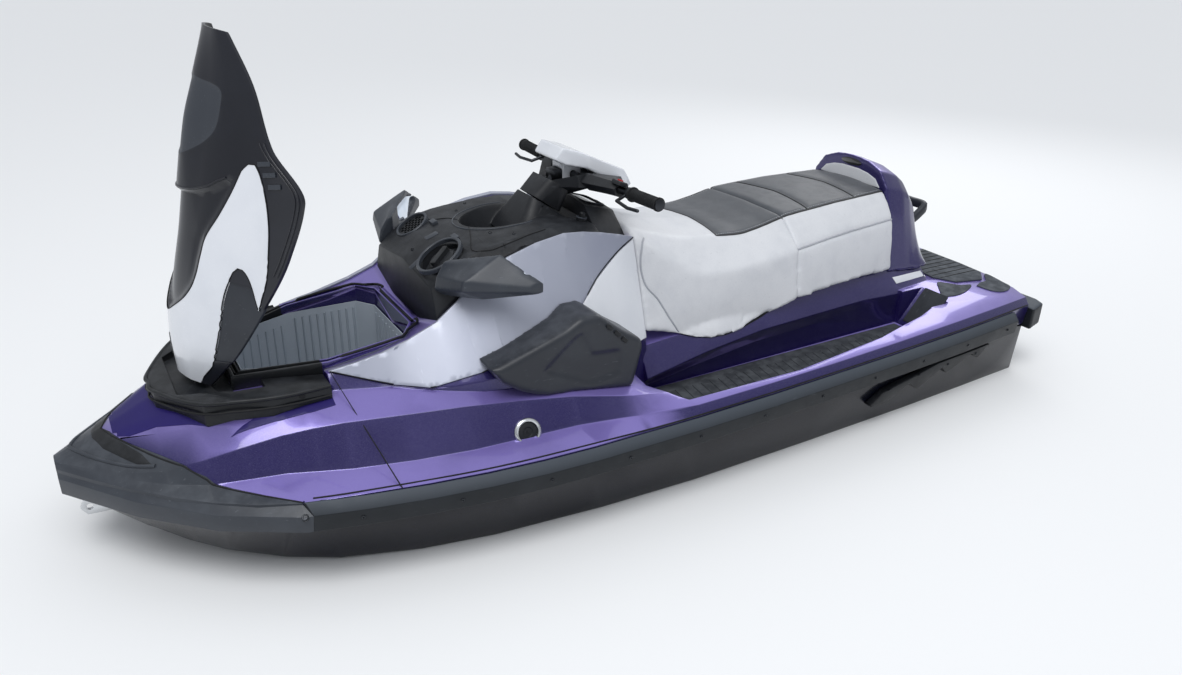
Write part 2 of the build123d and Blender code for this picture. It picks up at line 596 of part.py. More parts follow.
grow_post = rod(on_column(-66), on_column(99), POST_R + g)
grow_arms = both(rod(BAR_POINTS[1], BAR_POINTS[2], BAR_R + g) + Pos(*BAR_POINTS[2]) * Sphere(BAR_R + g))
neck_top = cut(neck_top, grow_post, grow_bar, grow_arms)
neck_top = max(neck_top.solids(), key=lambda s: s.volume)
save("handlebar", handlebar)
save("steering_neck", neck_top)
# top cover: outlines (y, z) at x
cover = side_prism([(232, 1074), (206, 1108), (144, 1090), (-28, 1012), (-66, 958), (-20, 946), (56, 1000),
                    (130, 1040),
                    (196, 1056)], -78, 78)
cover_plan = [(260, 62), (120, 78), (-40, 40), (-80, 22)]
cover_taper = plan_prism([*cover_plan, *[(x, -y) for x, y in reversed(cover_plan)]], 900, 1200)
cover = cover & cover_taper
cover = cover + box(120, 186, -34, 34, 1000, 1062)
cover = cut(cover, grow_bar, grow_post, neck_top)
cover = max(cover.solids(), key=lambda s: s.volume)
save("handlebar_cover", cover)
# side shells under the cover, from the middle out to the grips: outlines (x, z) at y
SHELL = [
    (40, [(-40, 950), (0, 948), (120, 990), (130, 1034), (60, 1010), (-20, 990)]),
    (110, [(24, 966), (60, 962), (140, 984), (172, 1012), (150, 1036), (50, 1014)]),
    (215, [(68, 984), (92, 980), (112, 990), (118, 1010), (100, 1026), (70, 1018)]),
]
shell = loft([make_face(Polyline(*[(x, y, z) for x, z in pts], close=True)) for y, pts in SHELL], ruled=True)
shell = cut(shell, grow_bar, grow_arms, grow_post, neck_top, cover)
shell = max(shell.solids(), key=lambda s: s.volume)
save("bar_shells", both(shell))


def between_points(a, b, t):
    return tuple(p + t * (q - p) for p, q in zip(a, b))


grip = tube(between_points(BAR_POINTS[0], BAR_POINTS[1], -0.02), between_points(BAR_POINTS[0],
        BAR_POINTS[1], 0.75),
            17, BAR_R + 0.1)
grip_end = rod(between_points(BAR_POINTS[0], BAR_POINTS[1], -0.04), BAR_POINTS[0], 20)
grip_flange = rod(between_points(BAR_POINTS[0], BAR_POINTS[1], 0.72), between_points(BAR_POINTS[0],
        BAR_POINTS[1], 0.75), 22)
grip_flange = grip_flange - rod(BAR_POINTS[0], BAR_POINTS[1], BAR_R + 0.1)
save("grips", both(grip + grip_end + grip_flange))
# hand levers ahead of the grips, each on its own clamp ring
RING = (0.79, 0.87)       # where the clamp ring lies along the grip's stretch of the bar
LEVER = [(100, 254, 1002), (138, 262, 990), (146, 330, 988), (140, 372, 990)]
ring_ends = [between_points(BAR_POINTS[0], BAR_POINTS[1], t) for t in RING]
lever = rod(*ring_ends, 17)
for a, b in zip(LEVER, LEVER[1:]):
    lever = lever + rod(a, b, 5) + Pos(*b) * Sphere(5)
lever = lever - rod(BAR_POINTS[0], BAR_POINTS[1], BAR_R + 0.1)
save("hand_levers", both(max(lever.solids(), key=lambda s: s.volume)))

# glove box lid behind the neck, and the seats
# x, foot, lower edge, upper edge, middle
LID = [
    (42, (186, 800), (172, 838), (92, 905), (0, 912)),
    (149, (196, 800), (182, 862), (100, 936), (0, 944)),
]
lid = skin(LID) - core_near
lid = max(lid.solids(), key=lambda s: s.volume)
lid = cut(lid, skin(CONSOLE), neck_low)
# the display is let into the lid's top, towards the rider
SCREEN = (52.0, 122.0, 56.0, 3.0)     # x0, x1, half width, depth
screen_plane = Plane(origin=(42, 0, 906.5), x_dir=(107, 0, 32), z_dir=(-32, 0, 107))
screen_face = screen_plane * Pos((SCREEN[0] + SCREEN[1]) / 2 - 42,
                                 0) * RectangleRounded(SCREEN[1] - SCREEN[0], 2 * SCREEN[2], 12)
screen_pocket = extrude(screen_face, amount=30, dir=screen_plane.z_dir)
display = extrude(screen_face, amount=SCREEN[3], dir=screen_plane.z_dir)
save("glove_lid", lid - screen_pocket)
save("display", display)
SEAT_SPLIT = -560.0
SEAT_END = -1060.0
SEAT_FRONT = [
    (38, (306, 574), (212, 844), (150, 868), (0, 874)),
    (-80, (304, 544), (238, 764), (168, 828), (0, 838)),
    (-200, (302, 512), (262, 705), (180, 800), (0, 815)),
    (-400, (308, 500), (284, 715), (200, 800), (0, 806)),
    (SEAT_SPLIT, (312, 570), (288, 740), (200, 830), (0, 836)),
]
SEAT_REAR = [
    (SEAT_SPLIT - SEAT_GAP, (312, 572), (288, 740), (200, 832), (0, 839)),
    (-800, (290, 580), (265, 756), (190, 846), (0, 854)),
    (SEAT_END, (255, 570), (235, 760), (170, 850), (0, 857)),
]
seat_front = skin(SEAT_FRONT)
seat_rear = skin(SEAT_REAR)
near_base = skin(BASE, SEAT_GAP)
seat_front = cut(seat_front, near_base, core_clear)
seat_rear = cut(seat_rear, near_base)
save("seat_front", max(seat_front.solids(), key=lambda s: s.volume))
save("seat_rear", max(seat_rear.solids(), key=lambda s: s.volume))

# x, foot, waist, side, corner, crown, middle
HUMP = [
    (SEAT_END - SEAT_GAP, (250, 560), (204, 780), (182, 858), (142, 912), (74, 938), (0, 944)),
    (-1150, (252, 552), (202, 760), (180, 838), (140, 886), (72, 908), (0, 913)),
    (-1236, (250, 547), (192, 690), (168, 766), (128, 808), (66, 828), (0, 832)),
    (-1292, (240, 545), (176, 580), (150, 612), (112, 640), (60, 658), (0, 662)),
]
hump = cut(skin(HUMP), near_base)
save("seat_hump", max(hump.solids(), key=lambda s: s.volume))
HANDLE_R = 13.0
HANDLE_Y = 135.0
HANDLE = [(-1262, 684), (-1345, 740)]
handle = rod((HANDLE[1][0], -HANDLE_Y, HANDLE[1][1]), (HANDLE[1][0], HANDLE_Y, HANDLE[1][1]), HANDLE_R)
for side in (-HANDLE_Y, HANDLE_Y):
    handle = handle + rod((HANDLE[1][0], side, HANDLE[1][1]), (HANDLE[0][0], side, HANDLE[0][1]), HANDLE_R)
    handle = handle + Pos(HANDLE[1][0], side, HANDLE[1][1]) * Sphere(HANDLE_R)
save("grab_handle", cut(handle, skin(HUMP, 0.3)))

# traction mats
MAT = 5.0
floor_mat = plan_prism([(120, 306), (120, 460), (50, 544), (-360, 550), (-750, 508), (-990, 458), (-1070,
    430), (-1070, 306)],
                       WELL_FLOOR, WELL_FLOOR + MAT)
floor_mat = cut(floor_mat, skin(BASE, 4.0), skin(CORE, 4.0))
floor_mat = max(floor_mat.solids(), key=lambda s: s.volume)
rise = (ramp_top - WELL_FLOOR) / (RAMP[0] - RAMP[1])
mat_foot = (RAMP[0] - 12, WELL_FLOOR + 12 * rise)
mat_head = (RAMP[1] + 10, ramp_top - 10 * rise)
ramp_mat = side_prism([mat_foot, mat_head, (mat_head[0], mat_head[1] + 1.5 * MAT), (mat_foot[0],
        mat_foot[1] + 1.5 * MAT)],
                      RAMP[2] + 16, RAMP[3] - 10)
ramp_mat = cut(ramp_mat, skin(BASE, 3.0))
save("footwell_mats", both(Compound(children=[floor_mat, *ramp_mat.solids()])))
# the aft platform's mat, in two halves with a gap on the centre line
PLATFORM = [(-1300, 14), (-1300, 262), (-1350, 330), (-1470, 352), (-1526, 300), (-1526, 14)]
near_deck = skin(DECK, SEAT_GAP)
platform_mat = (skin(DECK, SEAT_GAP + MAT) - near_deck) & plan_prism(PLATFORM, 440, 600)
platform_mat = cut(platform_mat, skin(BASE, 3.0))
save("platform_mats", both(max(platform_mat.solids(), key=lambda s: s.volume)))

# jet pump: housing with a flange on the bay wall, hub and stator vanes
PUMP_R = 88.0
PUMP_BORE = 78.0
PUMP_X = (-1150.0, -1460.0)
FLANGE_R = 112.0
FLANGE_T = 12.0
HUB_R = 34.0
NOZZLE_PIN_X = PUMP_X[1] - 40
PIN_R = 7.0
EAR_Z = 92.0
BAY_WALL_X = STEP_X
pump = rod((PUMP_X[0], 0, TUNNEL_Z), (PUMP_X[1], 0, TUNNEL_Z), PUMP_R)
pump = pump + rod((BAY_WALL_X, 0, TUNNEL_Z), (BAY_WALL_X - FLANGE_T, 0, TUNNEL_Z), FLANGE_R)
pump = pump - rod((PUMP_X[0] + 1, 0, TUNNEL_Z), (PUMP_X[1] - 1, 0, TUNNEL_Z), PUMP_BORE)
STATOR_X = (-1345.0, -1440.0)
pump = pump + rod((STATOR_X[0], 0, TUNNEL_Z), (STATOR_X[1], 0, TUNNEL_Z), HUB_R)
TAIL_X = -1375.0          # end of the shaft in the hub's bearing
pump = pump - rod((STATOR_X[0] + 1, 0, TUNNEL_Z), (TAIL_X - 5, 0, TUNNEL_Z), SHAFT_R + PIN_FIT)
for k in range(6):
    vane = box(STATOR_X[1], STATOR_X[0], -2.5, 2.5, HUB_R - 4, PUMP_BORE + 3)
    pump = pump + Pos(0, 0, TUNNEL_Z) * (Rot(k * 60, 0, 0) * vane)
# ears that hold the nozzle's upright pins
ear = box(NOZZLE_PIN_X - 18, PUMP_X[1] + 60, -22, 22, EAR_Z, EAR_Z + 10)
ear = ear + box(PUMP_X[1] + 20, PUMP_X[1] + 60, -22, 22, PUMP_R - 8, EAR_Z)
ear = ear - rod((NOZZLE_PIN_X, 0, 60), (NOZZLE_PIN_X, 0, 120), PIN_R + PIN_FIT)
for turn in (0, 180):
    pump = pump + Pos(0, 0, TUNNEL_Z) * (Rot(turn, 0, 0) * ear)
save("pump_housing", pump)

IMPELLER_X = (-1230.0, -1325.0)
BLADE_TIP_GAP = 5.5
BLADE_COUNT = 4
impeller = rod((IMPELLER_X[0], 0, TUNNEL_Z), (IMPELLER_X[1], 0, TUNNEL_Z), HUB_R)
impeller = impeller + rod((ex0 - RUN_GAP, 0, TUNNEL_Z), (TAIL_X, 0, TUNNEL_Z), SHAFT_R)
for k in range(BLADE_COUNT):
    blade = Pos(0, 0, (HUB_R - 6 + PUMP_BORE - BLADE_TIP_GAP) / 2) * Rot(0, 0, 40) * Box(80, 4,
        PUMP_BORE - BLADE_TIP_GAP - HUB_R + 6)
    blade = Rot(k * 360 / BLADE_COUNT, 0, 0) * blade
    impeller = impeller + Pos((IMPELLER_X[0] + IMPELLER_X[1]) / 2, 0, TUNNEL_Z) * blade
impeller = impeller & rod((ex0, 0, TUNNEL_Z), (TAIL_X - 1, 0, TUNNEL_Z), PUMP_BORE - BLADE_TIP_GAP)
save("impeller", impeller)

# steering nozzle, carried on two upright pins between lugs of the pump
NOZZLE_X = (PUMP_X[1] - 6, -1590.0)
NOZZLE_IN = (66.0, 46.0)
NOZZLE_WALL = 7.0


def cone_x(x0, x1, r0, r1):
    return loft([Plane(origin=(x0, 0, TUNNEL_Z), z_dir=(-1, 0, 0)) * Circle(r0),
                 Plane(origin=(x1, 0, TUNNEL_Z), z_dir=(-1, 0, 0)) * Circle(r1)], ruled=True)


nozzle = cone_x(*NOZZLE_X, NOZZLE_IN[0] + NOZZLE_WALL, NOZZLE_IN[1] + NOZZLE_WALL)
for sign in (-1, 1):
    nozzle = nozzle + rod((NOZZLE_PIN_X, 0, TUNNEL_Z + sign * 55), (NOZZLE_PIN_X, 0,
        TUNNEL_Z + sign * (EAR_Z + 12)), PIN_R)
nozzle = nozzle - cone_x(NOZZLE_X[0] + 1, NOZZLE_X[1] - 1, *NOZZLE_IN)
save("steering_nozzle", nozzle)

# reverse gate: a curved shell between two cheeks, turning about pins in the bay's side walls
GATE_SWEEP = (25, 80)     # degrees above the level, at rest
CHEEK_Y = (98.0, 106.0)
arc = [GATE_SWEEP[0] + (GATE_SWEEP[1] - GATE_SWEEP[0]) * k / 8 for k in range(9)]


def on_gate(radius, degrees):
    return (BUCKET_PIN[0] - radius * cos(radians(degrees)), BUCKET_PIN[1] + radius * sin(radians(degrees)))


bucket = side_prism([*[on_gate(GATE_R[0], a) for a in arc], *[on_gate(GATE_R[1], a) for a in reversed(arc)]],
                    -CHEEK_Y[1], CHEEK_Y[1])
for sign in (-1, 1):
    y0, y1 = sorted((sign * CHEEK_Y[0], sign * CHEEK_Y[1]))
    cheek = side_prism([on_gate(14, -60), on_gate(14, 0), *[on_gate(GATE_R[1], a) for a in arc], on_gate(14,
        120)], y0, y1)
    boss = rod((BUCKET_PIN[0], y0, BUCKET_PIN[1]), (BUCKET_PIN[0], y1, BUCKET_PIN[1]), 18)
    window = side_prism([on_gate(52, 36), on_gate(104, 34), on_gate(110, 52), on_gate(104, 70), on_gate(52,
        68)], y0 - 1, y1 + 1)
    pin = rod((BUCKET_PIN[0], sign * CHEEK_Y[0], BUCKET_PIN[1]),
              (BUCKET_PIN[0], sign * (BAY_HALF + PIN_IN), BUCKET_PIN[1]), BUCKET_PIN_R)
    bucket = bucket + cheek + boss - window + pin
save("reverse_bucket", bucket)
PLATE_T = 10.0
bottom = skin(HULL) - skin(HULL).moved(Location((0, 0, PLATE_T)))
plate = bottom & box(TRANSOM_X, BAY_WALL_X, -BAY_HALF, BAY_HALF, -20, 200)
save("ride_plate", plate)
# grate over the intake, flush with the bottom
GRATE_BARS = 5
GRATE_GAP = 20.0
slot_width = (2 * INTAKE_HALF - 16 - (GRATE_BARS - 1) * 7) / GRATE_BARS
grate = bottom & ramp & box(INTAKE_X[0], INTAKE_X[1] - 6, -INTAKE_HALF, INTAKE_HALF, -20, 60)
for k in range(GRATE_BARS):
    y0 = -INTAKE_HALF + 8 + k * (slot_width + 7)
    grate = grate - box(INTAKE_X[0] + 18, INTAKE_X[1] - 60, y0, y0 + slot_width, -30, 80)
save("intake_grate", max(grate.solids(), key=lambda s: s.volume))

# stepped sponsons on the hull's sides, aft
SPONSON_WIDE = 26.0
SPONSON = [(-690, 262), (-697, 250), (-755, 249), (-862, 300), (-922, 261), (-1033, 318), (-1068, 286),
           (-1195, 332),
           (-1240, 303), (-1290, 338), (-1296, 346), (-1000, 345), (-740, 300)]
sponson = (skin(HULL, SPONSON_WIDE) - skin(HULL, SEAT_GAP)) & side_prism(SPONSON, 300, 700)
save("sponsons", both(max(sponson.solids(), key=lambda s: s.volume)))

# eyes for towing: one under the bow, one on the transom
EYE_R = 9.0
EYE_T = 12.0
BOW_EYE = (1592.0, 284.0)             # x, z of the hole
bow_eye = side_prism([(1520, 292), (1540, 258), (1600, 262), (1614, 284), (1604, 306), (1570, 330)],
                     -EYE_T / 2, EYE_T / 2)
bow_eye = cut(bow_eye, skin(HULL, SEAT_GAP), rod((BOW_EYE[0], -20, BOW_EYE[1]), (BOW_EYE[0], 20,
        BOW_EYE[1]), EYE_R))
save("bow_eye", max(bow_eye.solids(), key=lambda s: s.volume))
TOW_EYE = (-1572.0, 430.0)            # x, z of the hole
tow_plate = plan_prism([(TRANSOM_X, -26), (TRANSOM_X, 26), (TOW_EYE[0] - 8, 19), (TOW_EYE[0] - 19, 8),
                        (TOW_EYE[0] - 19, -8),
                        (TOW_EYE[0] - 8, -19)], TOW_EYE[1] - EYE_T / 2, TOW_EYE[1] + EYE_T / 2)
tow_plate = tow_plate + box(TRANSOM_X - 5, TRANSOM_X, -34, 34, TOW_EYE[1] - 24, TOW_EYE[1] + 24)
tow_eye = tow_plate - rod((TOW_EYE[0], 0, TOW_EYE[1] - 20), (TOW_EYE[0], 0, TOW_EYE[1] + 20), EYE_R)
save("tow_eye", tow_eye)
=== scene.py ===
# %% [markdown]
# # A personal watercraft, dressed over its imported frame
# The craft was drawn as solids first, and those solids are the frame here. Each one is looked up by its
# name, rounded and given a finish, and the small things that the solids leave out are made on top.
# Everything is in metres: +X is the bow, +Y is port, +Z is up, and the calm water is at height zero.

# %% Load the frame
import json
import math

import bmesh
import bpy
from mathutils import Matrix, Vector
from mathutils.bvhtree import BVHTree
from mathutils.geometry import delaunay_2d_cdt


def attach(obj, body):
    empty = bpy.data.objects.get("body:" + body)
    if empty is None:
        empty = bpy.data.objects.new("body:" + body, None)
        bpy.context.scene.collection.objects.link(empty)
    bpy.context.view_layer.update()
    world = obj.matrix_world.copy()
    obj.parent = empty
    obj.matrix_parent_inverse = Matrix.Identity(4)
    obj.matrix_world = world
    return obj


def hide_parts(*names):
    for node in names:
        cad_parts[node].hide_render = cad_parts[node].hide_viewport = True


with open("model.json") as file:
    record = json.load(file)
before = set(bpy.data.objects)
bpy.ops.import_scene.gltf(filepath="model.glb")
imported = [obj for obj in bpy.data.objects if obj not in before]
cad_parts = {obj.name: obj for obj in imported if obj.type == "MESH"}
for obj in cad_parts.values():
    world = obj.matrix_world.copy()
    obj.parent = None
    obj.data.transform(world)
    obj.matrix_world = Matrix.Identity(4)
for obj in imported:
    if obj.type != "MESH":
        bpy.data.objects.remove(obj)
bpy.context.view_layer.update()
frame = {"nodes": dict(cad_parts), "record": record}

BODY_OF = {node: body for body, nodes in frame["record"]["behaviour"]["bodies"].items() for node in nodes}

# %% [markdown]
# The drawing counts heights in millimetres above the keel line, and the water stands 170 mm above it.
# `at` turns such a point into a point of the scene, so that a number read from the drawing can be used
# here as it stands. `touch` drops a point on to a solid, which is how trims find the surface they lie on.

# %% Places and surfaces
WATERLINE_MM = 170.0


def at(x, y, z):
    return Vector((x, y, z - WATERLINE_MM)) / 1000


def flipped(outline, keep_last=False):
    """A half outline and its mirror image, as one closed outline. A last point on the centre plane isn't doubled."""
    half = outline if keep_last else outline[:-1]
    return [*outline, *[(x, -y) for x, y in reversed(half)]]


def welded(node):
    """The solid's triangles joined up at their corners, with flat neighbours run together."""
    shape = bmesh.new()
    shape.from_mesh(frame["nodes"][node].data)
    bmesh.ops.remove_doubles(shape, verts=shape.verts, dist=2e-5)
    bmesh.ops.dissolve_degenerate(shape, edges=shape.edges, dist=1e-5)
    bmesh.ops.dissolve_limit(shape, angle_limit=math.radians(0.6), verts=shape.verts, edges=shape.edges)
    bmesh.ops.triangulate(shape, faces=[face for face in shape.faces if len(face.verts) > 4])
    return shape


_trees = {}


def surface_of(nodes):
    key = tuple(nodes)
    if key not in _trees:
        verts, faces = [], []
        for node in nodes:
            mesh = frame["nodes"][node].data
            start = len(verts)
            verts += [v.co.copy() for v in mesh.vertices]
            faces += [[start + i for i in p.vertices] for p in mesh.polygons]
        _trees[key] = BVHTree.FromPolygons(verts, faces)
    return _trees[key]


def touch(nodes, origin, direction):
    """Where a ray meets the solids: (point, outward normal)."""
    hit, normal, _, _ = surface_of(nodes).ray_cast(origin, Vector(direction).normalized())
    if hit is None:
        hit, normal, _, _ = surface_of(nodes).find_nearest(origin)
    if normal.dot(Vector(direction)) > 0:
        normal = -normal
    return hit, normal


# %% [markdown]
# The camera stands where the photographer stood: ahead of the craft on its port side, looking down and
# aft. Its place and lens were worked out from the craft's own edges, so it is set here by its angles.

# %% Camera
EYE = Vector((1.5307, 2.4256, 1.5633))
YAW, PITCH, ROLL = math.radians(-121.329), math.radians(-24.502), math.radians(1.2626)
SENSOR_MM = 36.0
FOCAL_PX, PHOTO_WIDTH_PX = 930.4, 1182
forward = Vector((math.cos(PITCH) * math.cos(YAW), math.cos(PITCH) * math.sin(YAW), math.sin(PITCH)))
level = forward.cross(Vector((0, 0, 1))).normalized()
upward = level.cross(forward)
right = math.cos(ROLL) * level + math.sin(ROLL) * upward
top = -math.sin(ROLL) * level + math.cos(ROLL) * upward
camera = bpy.data.objects.new("camera", bpy.data.cameras.new("camera"))
bpy.context.collection.objects.link(camera)
camera.matrix_world = Matrix.Translation(EYE) @ Matrix((right, top, -forward)).transposed().to_4x4()
camera.data.sensor_fit = "HORIZONTAL"
camera.data.sensor_width = SENSOR_MM
camera.data.lens = SENSOR_MM * FOCAL_PX / PHOTO_WIDTH_PX
camera.data.clip_end = 200
bpy.context.scene.camera = camera
print("lens", round(camera.data.lens, 2), "mm")

# %% [markdown]
# Light is that of a bright overcast day: a broad pale sky from all round, one big soft lamp high on the
# camera's side, and a weaker one from astern that draws the far edges. The floor is the level of the
# water. It is nearly white, and rays that the camera sends past it meet the same pale tone.

# %% Light and floor
PALE_SKY, LOW_SKY = (0.62, 0.64, 0.67, 1), (0.30, 0.31, 0.33, 1)
BACKDROP, FLOOR_TONE = (0.80, 0.81, 0.82, 1), (0.86, 0.87, 0.88, 1)
FLOOR_HALF = 90.0
scene = bpy.context.scene
scene.view_settings.view_transform = "Standard"


def linear(*rgb255):
    """Screen colours from 0 to 255, as the straight values that a shader works with."""
    return tuple((c / 255 / 12.92) if c <= 10 else ((c / 255 + 0.055) / 1.055) ** 2.4 for c in rgb255) + (1.0,)


def connect(node_tree, pairs):
    for source, target in pairs:
        node_tree.links.new(source, target)


world = bpy.data.worlds.new("pale_sky")
world.use_nodes = True
scene.world = world
tree = world.node_tree
background = tree.nodes["Background"]
sky_path = tree.nodes.new("ShaderNodeLightPath")
sky_place = tree.nodes.new("ShaderNodeTexCoord")
sky_split = tree.nodes.new("ShaderNodeSeparateXYZ")
sky_ramp = tree.nodes.new("ShaderNodeValToRGB")
for stop, position, tone in zip(sky_ramp.color_ramp.elements, (0.42, 0.80), (LOW_SKY, PALE_SKY)):
    stop.position, stop.color = position, tone
sky_height = tree.nodes.new("ShaderNodeMapRange")
sky_height.inputs["From Min"].default_value = -1.0
seen = tree.nodes.new("ShaderNodeMix")
seen.data_type = "RGBA"
seen.inputs[7].default_value = BACKDROP
connect(tree, (
    (sky_place.outputs["Generated"], sky_split.inputs["Vector"]),
    (sky_split.outputs["Z"], sky_height.inputs["Value"]),
    (sky_height.outputs["Result"], sky_ramp.inputs["Fac"]),
    (sky_path.outputs["Is Camera Ray"], seen.inputs[0]),
    (sky_ramp.outputs["Color"], seen.inputs[6]),
    (seen.outputs[2], background.inputs["Color"])))


def lamp_at(name, kind, energy, place, aim):
    """A lamp that stands at place and looks along aim."""
    lamp = bpy.data.lights.new(name, kind)
    lamp.energy = energy
    holder = bpy.data.objects.new(name, lamp)
    bpy.context.collection.objects.link(holder)
    holder.location = place
    holder.rotation_mode = "QUATERNION"
    holder.rotation_quaternion = Vector(aim).to_track_quat("-Z", "Y")
    return lamp


for name, place, target, size, watts in (
        ("key_lamp", (1.6, 2.0, 4.4), (0.0, 0, 0.3), (4.2, 2.4), 60),
        ("stern_lamp", (-4.2, -2.2, 3.0), (-0.6, 0, 0.3), (2.6, 1.6), 34)):
    soft = lamp_at(name, "AREA", watts, place, Vector(target) - Vector(place))
    soft.shape = "RECTANGLE"
    soft.size, soft.size_y = size
lamp_at("cloudy_sun", "SUN", 0.9, (0, 0, 0), (-0.35, -0.30, -1.0)).angle = math.radians(28)

floor_mesh = bpy.data.meshes.new("floor")
floor_mesh.from_pydata([(x * FLOOR_HALF, y * FLOOR_HALF, 0) for x, y in ((-1, -1), (1, -1), (1, 1), (-1, 1))], [],
                       [(0, 1, 2, 3)])
floor = bpy.data.objects.new("floor", floor_mesh)
bpy.context.collection.objects.link(floor)
floor_finish = bpy.data.materials.new("pale_floor")
floor_finish.use_nodes = True
floor_finish.node_tree.nodes["Principled BSDF"].inputs["Base Color"].default_value = FLOOR_TONE
floor_finish.node_tree.nodes["Principled BSDF"].inputs["Roughness"].default_value = 0.9
floor_mesh.materials.append(floor_finish)

# %% [markdown]
# Every finish on the craft is a clear or a satin skin over one body colour, changed a little from place
# to place: drifts of tone, a grain, scuffs, dust on what faces up. `Finish` builds these from noise in
# the piece's own space, so that a pattern keeps its size in millimetres and stays put when a part turns.

# %% A helper for finishes


class Finish:
    """A material. Its shader takes plain values by socket name, and masks that change them from place to place."""

    def __init__(self, name, colour, roughness, **fixed):
        self.made = bpy.data.materials.new(name)
        self.made.use_nodes = True
        self.tree = self.made.node_tree
        self.shader = self.tree.nodes["Principled BSDF"]
        self.shader.inputs["Base Color"].default_value = linear(*colour)
        self.shader.inputs["Roughness"].default_value = roughness
        for socket, value in fixed.items():
            self.shader.inputs[socket.replace("_", " ")].default_value = value
        self.coords = self.node("ShaderNodeTexCoord")

    def node(self, kind, **settings):
        made = self.tree.nodes.new(kind)
        for key, value in settings.items():
            setattr(made, key, value)
        return made

    def link(self, source, target):
        self.tree.links.new(source, target)

    def stretched(self, stretch):
        mapping = self.node("ShaderNodeMapping")
        mapping.inputs["Scale"].default_value = stretch
        self.link(self.coords.outputs["Object"], mapping.inputs["Vector"])
        return mapping.outputs["Vector"]

    def clouds(self, size_mm, detail=3.0, rough=0.55, stretch=(1, 1, 1)):
        noise = self.node("ShaderNodeTexNoise")
        self.link(self.stretched(stretch), noise.inputs["Vector"])
        noise.inputs["Scale"].default_value = 1000 / size_mm
        noise.inputs["Detail"].default_value = detail
        noise.inputs["Roughness"].default_value = rough
        return noise.outputs["Fac"]

    def cells(self, size_mm, feature="F1", stretch=(1, 1, 1)):
        cells = self.node("ShaderNodeTexVoronoi", feature=feature)
        self.link(self.stretched(stretch), cells.inputs["Vector"])
        cells.inputs["Scale"].default_value = 1000 / size_mm
        return cells.outputs["Distance"]

    def between(self, value, low, high):
        ramp = self.node("ShaderNodeMapRange", interpolation_type="SMOOTHSTEP")
        ramp.inputs["From Min"].default_value = low
        ramp.inputs["From Max"].default_value = high
        self.link(value, ramp.inputs["Value"])
        return ramp.outputs["Result"]

    def patches(self, low, high, *size_and_detail, **more):
        """A mask of soft patches: the part of a cloud noise that lies above low, full from high on."""
        return self.between(self.clouds(*size_and_detail, **more), low, high)

    def part_of(self, output, axis, low, high):
        split = self.node("ShaderNodeSeparateXYZ")
        self.link(self.coords.outputs[output], split.inputs["Vector"])
        return self.between(split.outputs[axis], low, high)

    def facing(self, axis, low, high):
        return self.part_of("Normal", axis, low, high)

    def along(self, axis, low, high):
        return self.part_of("Object", axis, low, high)

    def times(self, a, b):
        product = self.node("ShaderNodeMath", operation="MULTIPLY")
        self.link(a, product.inputs[0])
        if isinstance(b, float):
            product.inputs[1].default_value = b
        else:
            self.link(b, product.inputs[1])
        return product.outputs[0]

    def inverse(self, a):
        flip = self.node("ShaderNodeMath", operation="SUBTRACT")
        flip.inputs[0].default_value = 1.0
        self.link(a, flip.inputs[1])
        return flip.outputs[0]

    def _mix(self, socket, mask, most, kind, slots, value):
        target = self.shader.inputs[socket]
        mix = self.node("ShaderNodeMix", data_type=kind)
        self.link(self.times(mask, float(most)), mix.inputs[0])
        if target.is_linked:
            self.link(target.links[0].from_socket, mix.inputs[slots[0]])
        else:
            mix.inputs[slots[0]].default_value = target.default_value
        mix.inputs[slots[1]].default_value = value
        self.link(mix.outputs[slots[2]], target)

    def tint(self, mask, colour, most=1.0):
        self._mix("Base Color", mask, most, "RGBA", (6, 7, 2), linear(*colour))
        return self

    def roughen(self, mask, value, most=1.0):
        self._mix("Roughness", mask, most, "FLOAT", (2, 3, 0), value)
        return self

    def relief(self, height, depth_mm, strength=1.0):
        bump = self.node("ShaderNodeBump")
        bump.inputs["Distance"].default_value = depth_mm / 1000
        bump.inputs["Strength"].default_value = strength
        target = self.shader.inputs["Normal"]
        if target.is_linked:
            self.link(target.links[0].from_socket, bump.inputs["Normal"])
        self.link(height, bump.inputs["Height"])
        self.link(bump.outputs["Normal"], target)
        return self


# %% [markdown]
# The purple is a metallic paint under clear lacquer, deep indigo in itself. Its lavender on what faces the
# sky is a painted sky reflection, so the two tones are mixed by the direction of the surface. A fine
# flake breaks the colour, and a faint ripple of the lacquer breaks its reflections.

# %% Paints and glossy skins


def sky_sheen_paint(name, side, up, low=0.30, high=0.80):
    paint = Finish(name, side, 0.30, Metallic=0.45, Coat_Weight=0.8, Coat_Roughness=0.05)
    # painted sky reflection: faces that look up turn from the deep body colour to the lavender
    paint.tint(paint.facing("Z", low, high), up)
    paint.tint(paint.patches(0.52, 0.72, 0.9, 2.0), (205, 200, 245), 0.16)
    paint.tint(paint.patches(0.45, 0.75, 240, 4.0), side, 0.22)
    paint.roughen(paint.patches(0.66, 0.74, 5.0, 4.0, stretch=(0.12, 1, 1)), 0.48, 0.6)
    paint.relief(paint.clouds(11.0, 2.0), 0.03)
    return paint


def gloss_skin(name, colour, deep, roughness=0.22, metallic=0.0, coat=0.6, specular=0.5):
    skin = Finish(name, colour, roughness, Metallic=metallic, Coat_Weight=coat, Coat_Roughness=0.06,
                  Specular_IOR_Level=specular)
    skin.tint(skin.patches(0.35, 0.75, 180, 4.0), deep, 0.35)
    skin.tint(skin.patches(0.66, 0.78, 2.2, 5.0, 0.7), deep, 0.5)
    skin.roughen(skin.patches(0.62, 0.74, 4.0, 4.0, stretch=(1, 0.15, 1)), 0.42, 0.7)
    skin.relief(skin.clouds(14.0, 2.0), 0.03)
    return skin
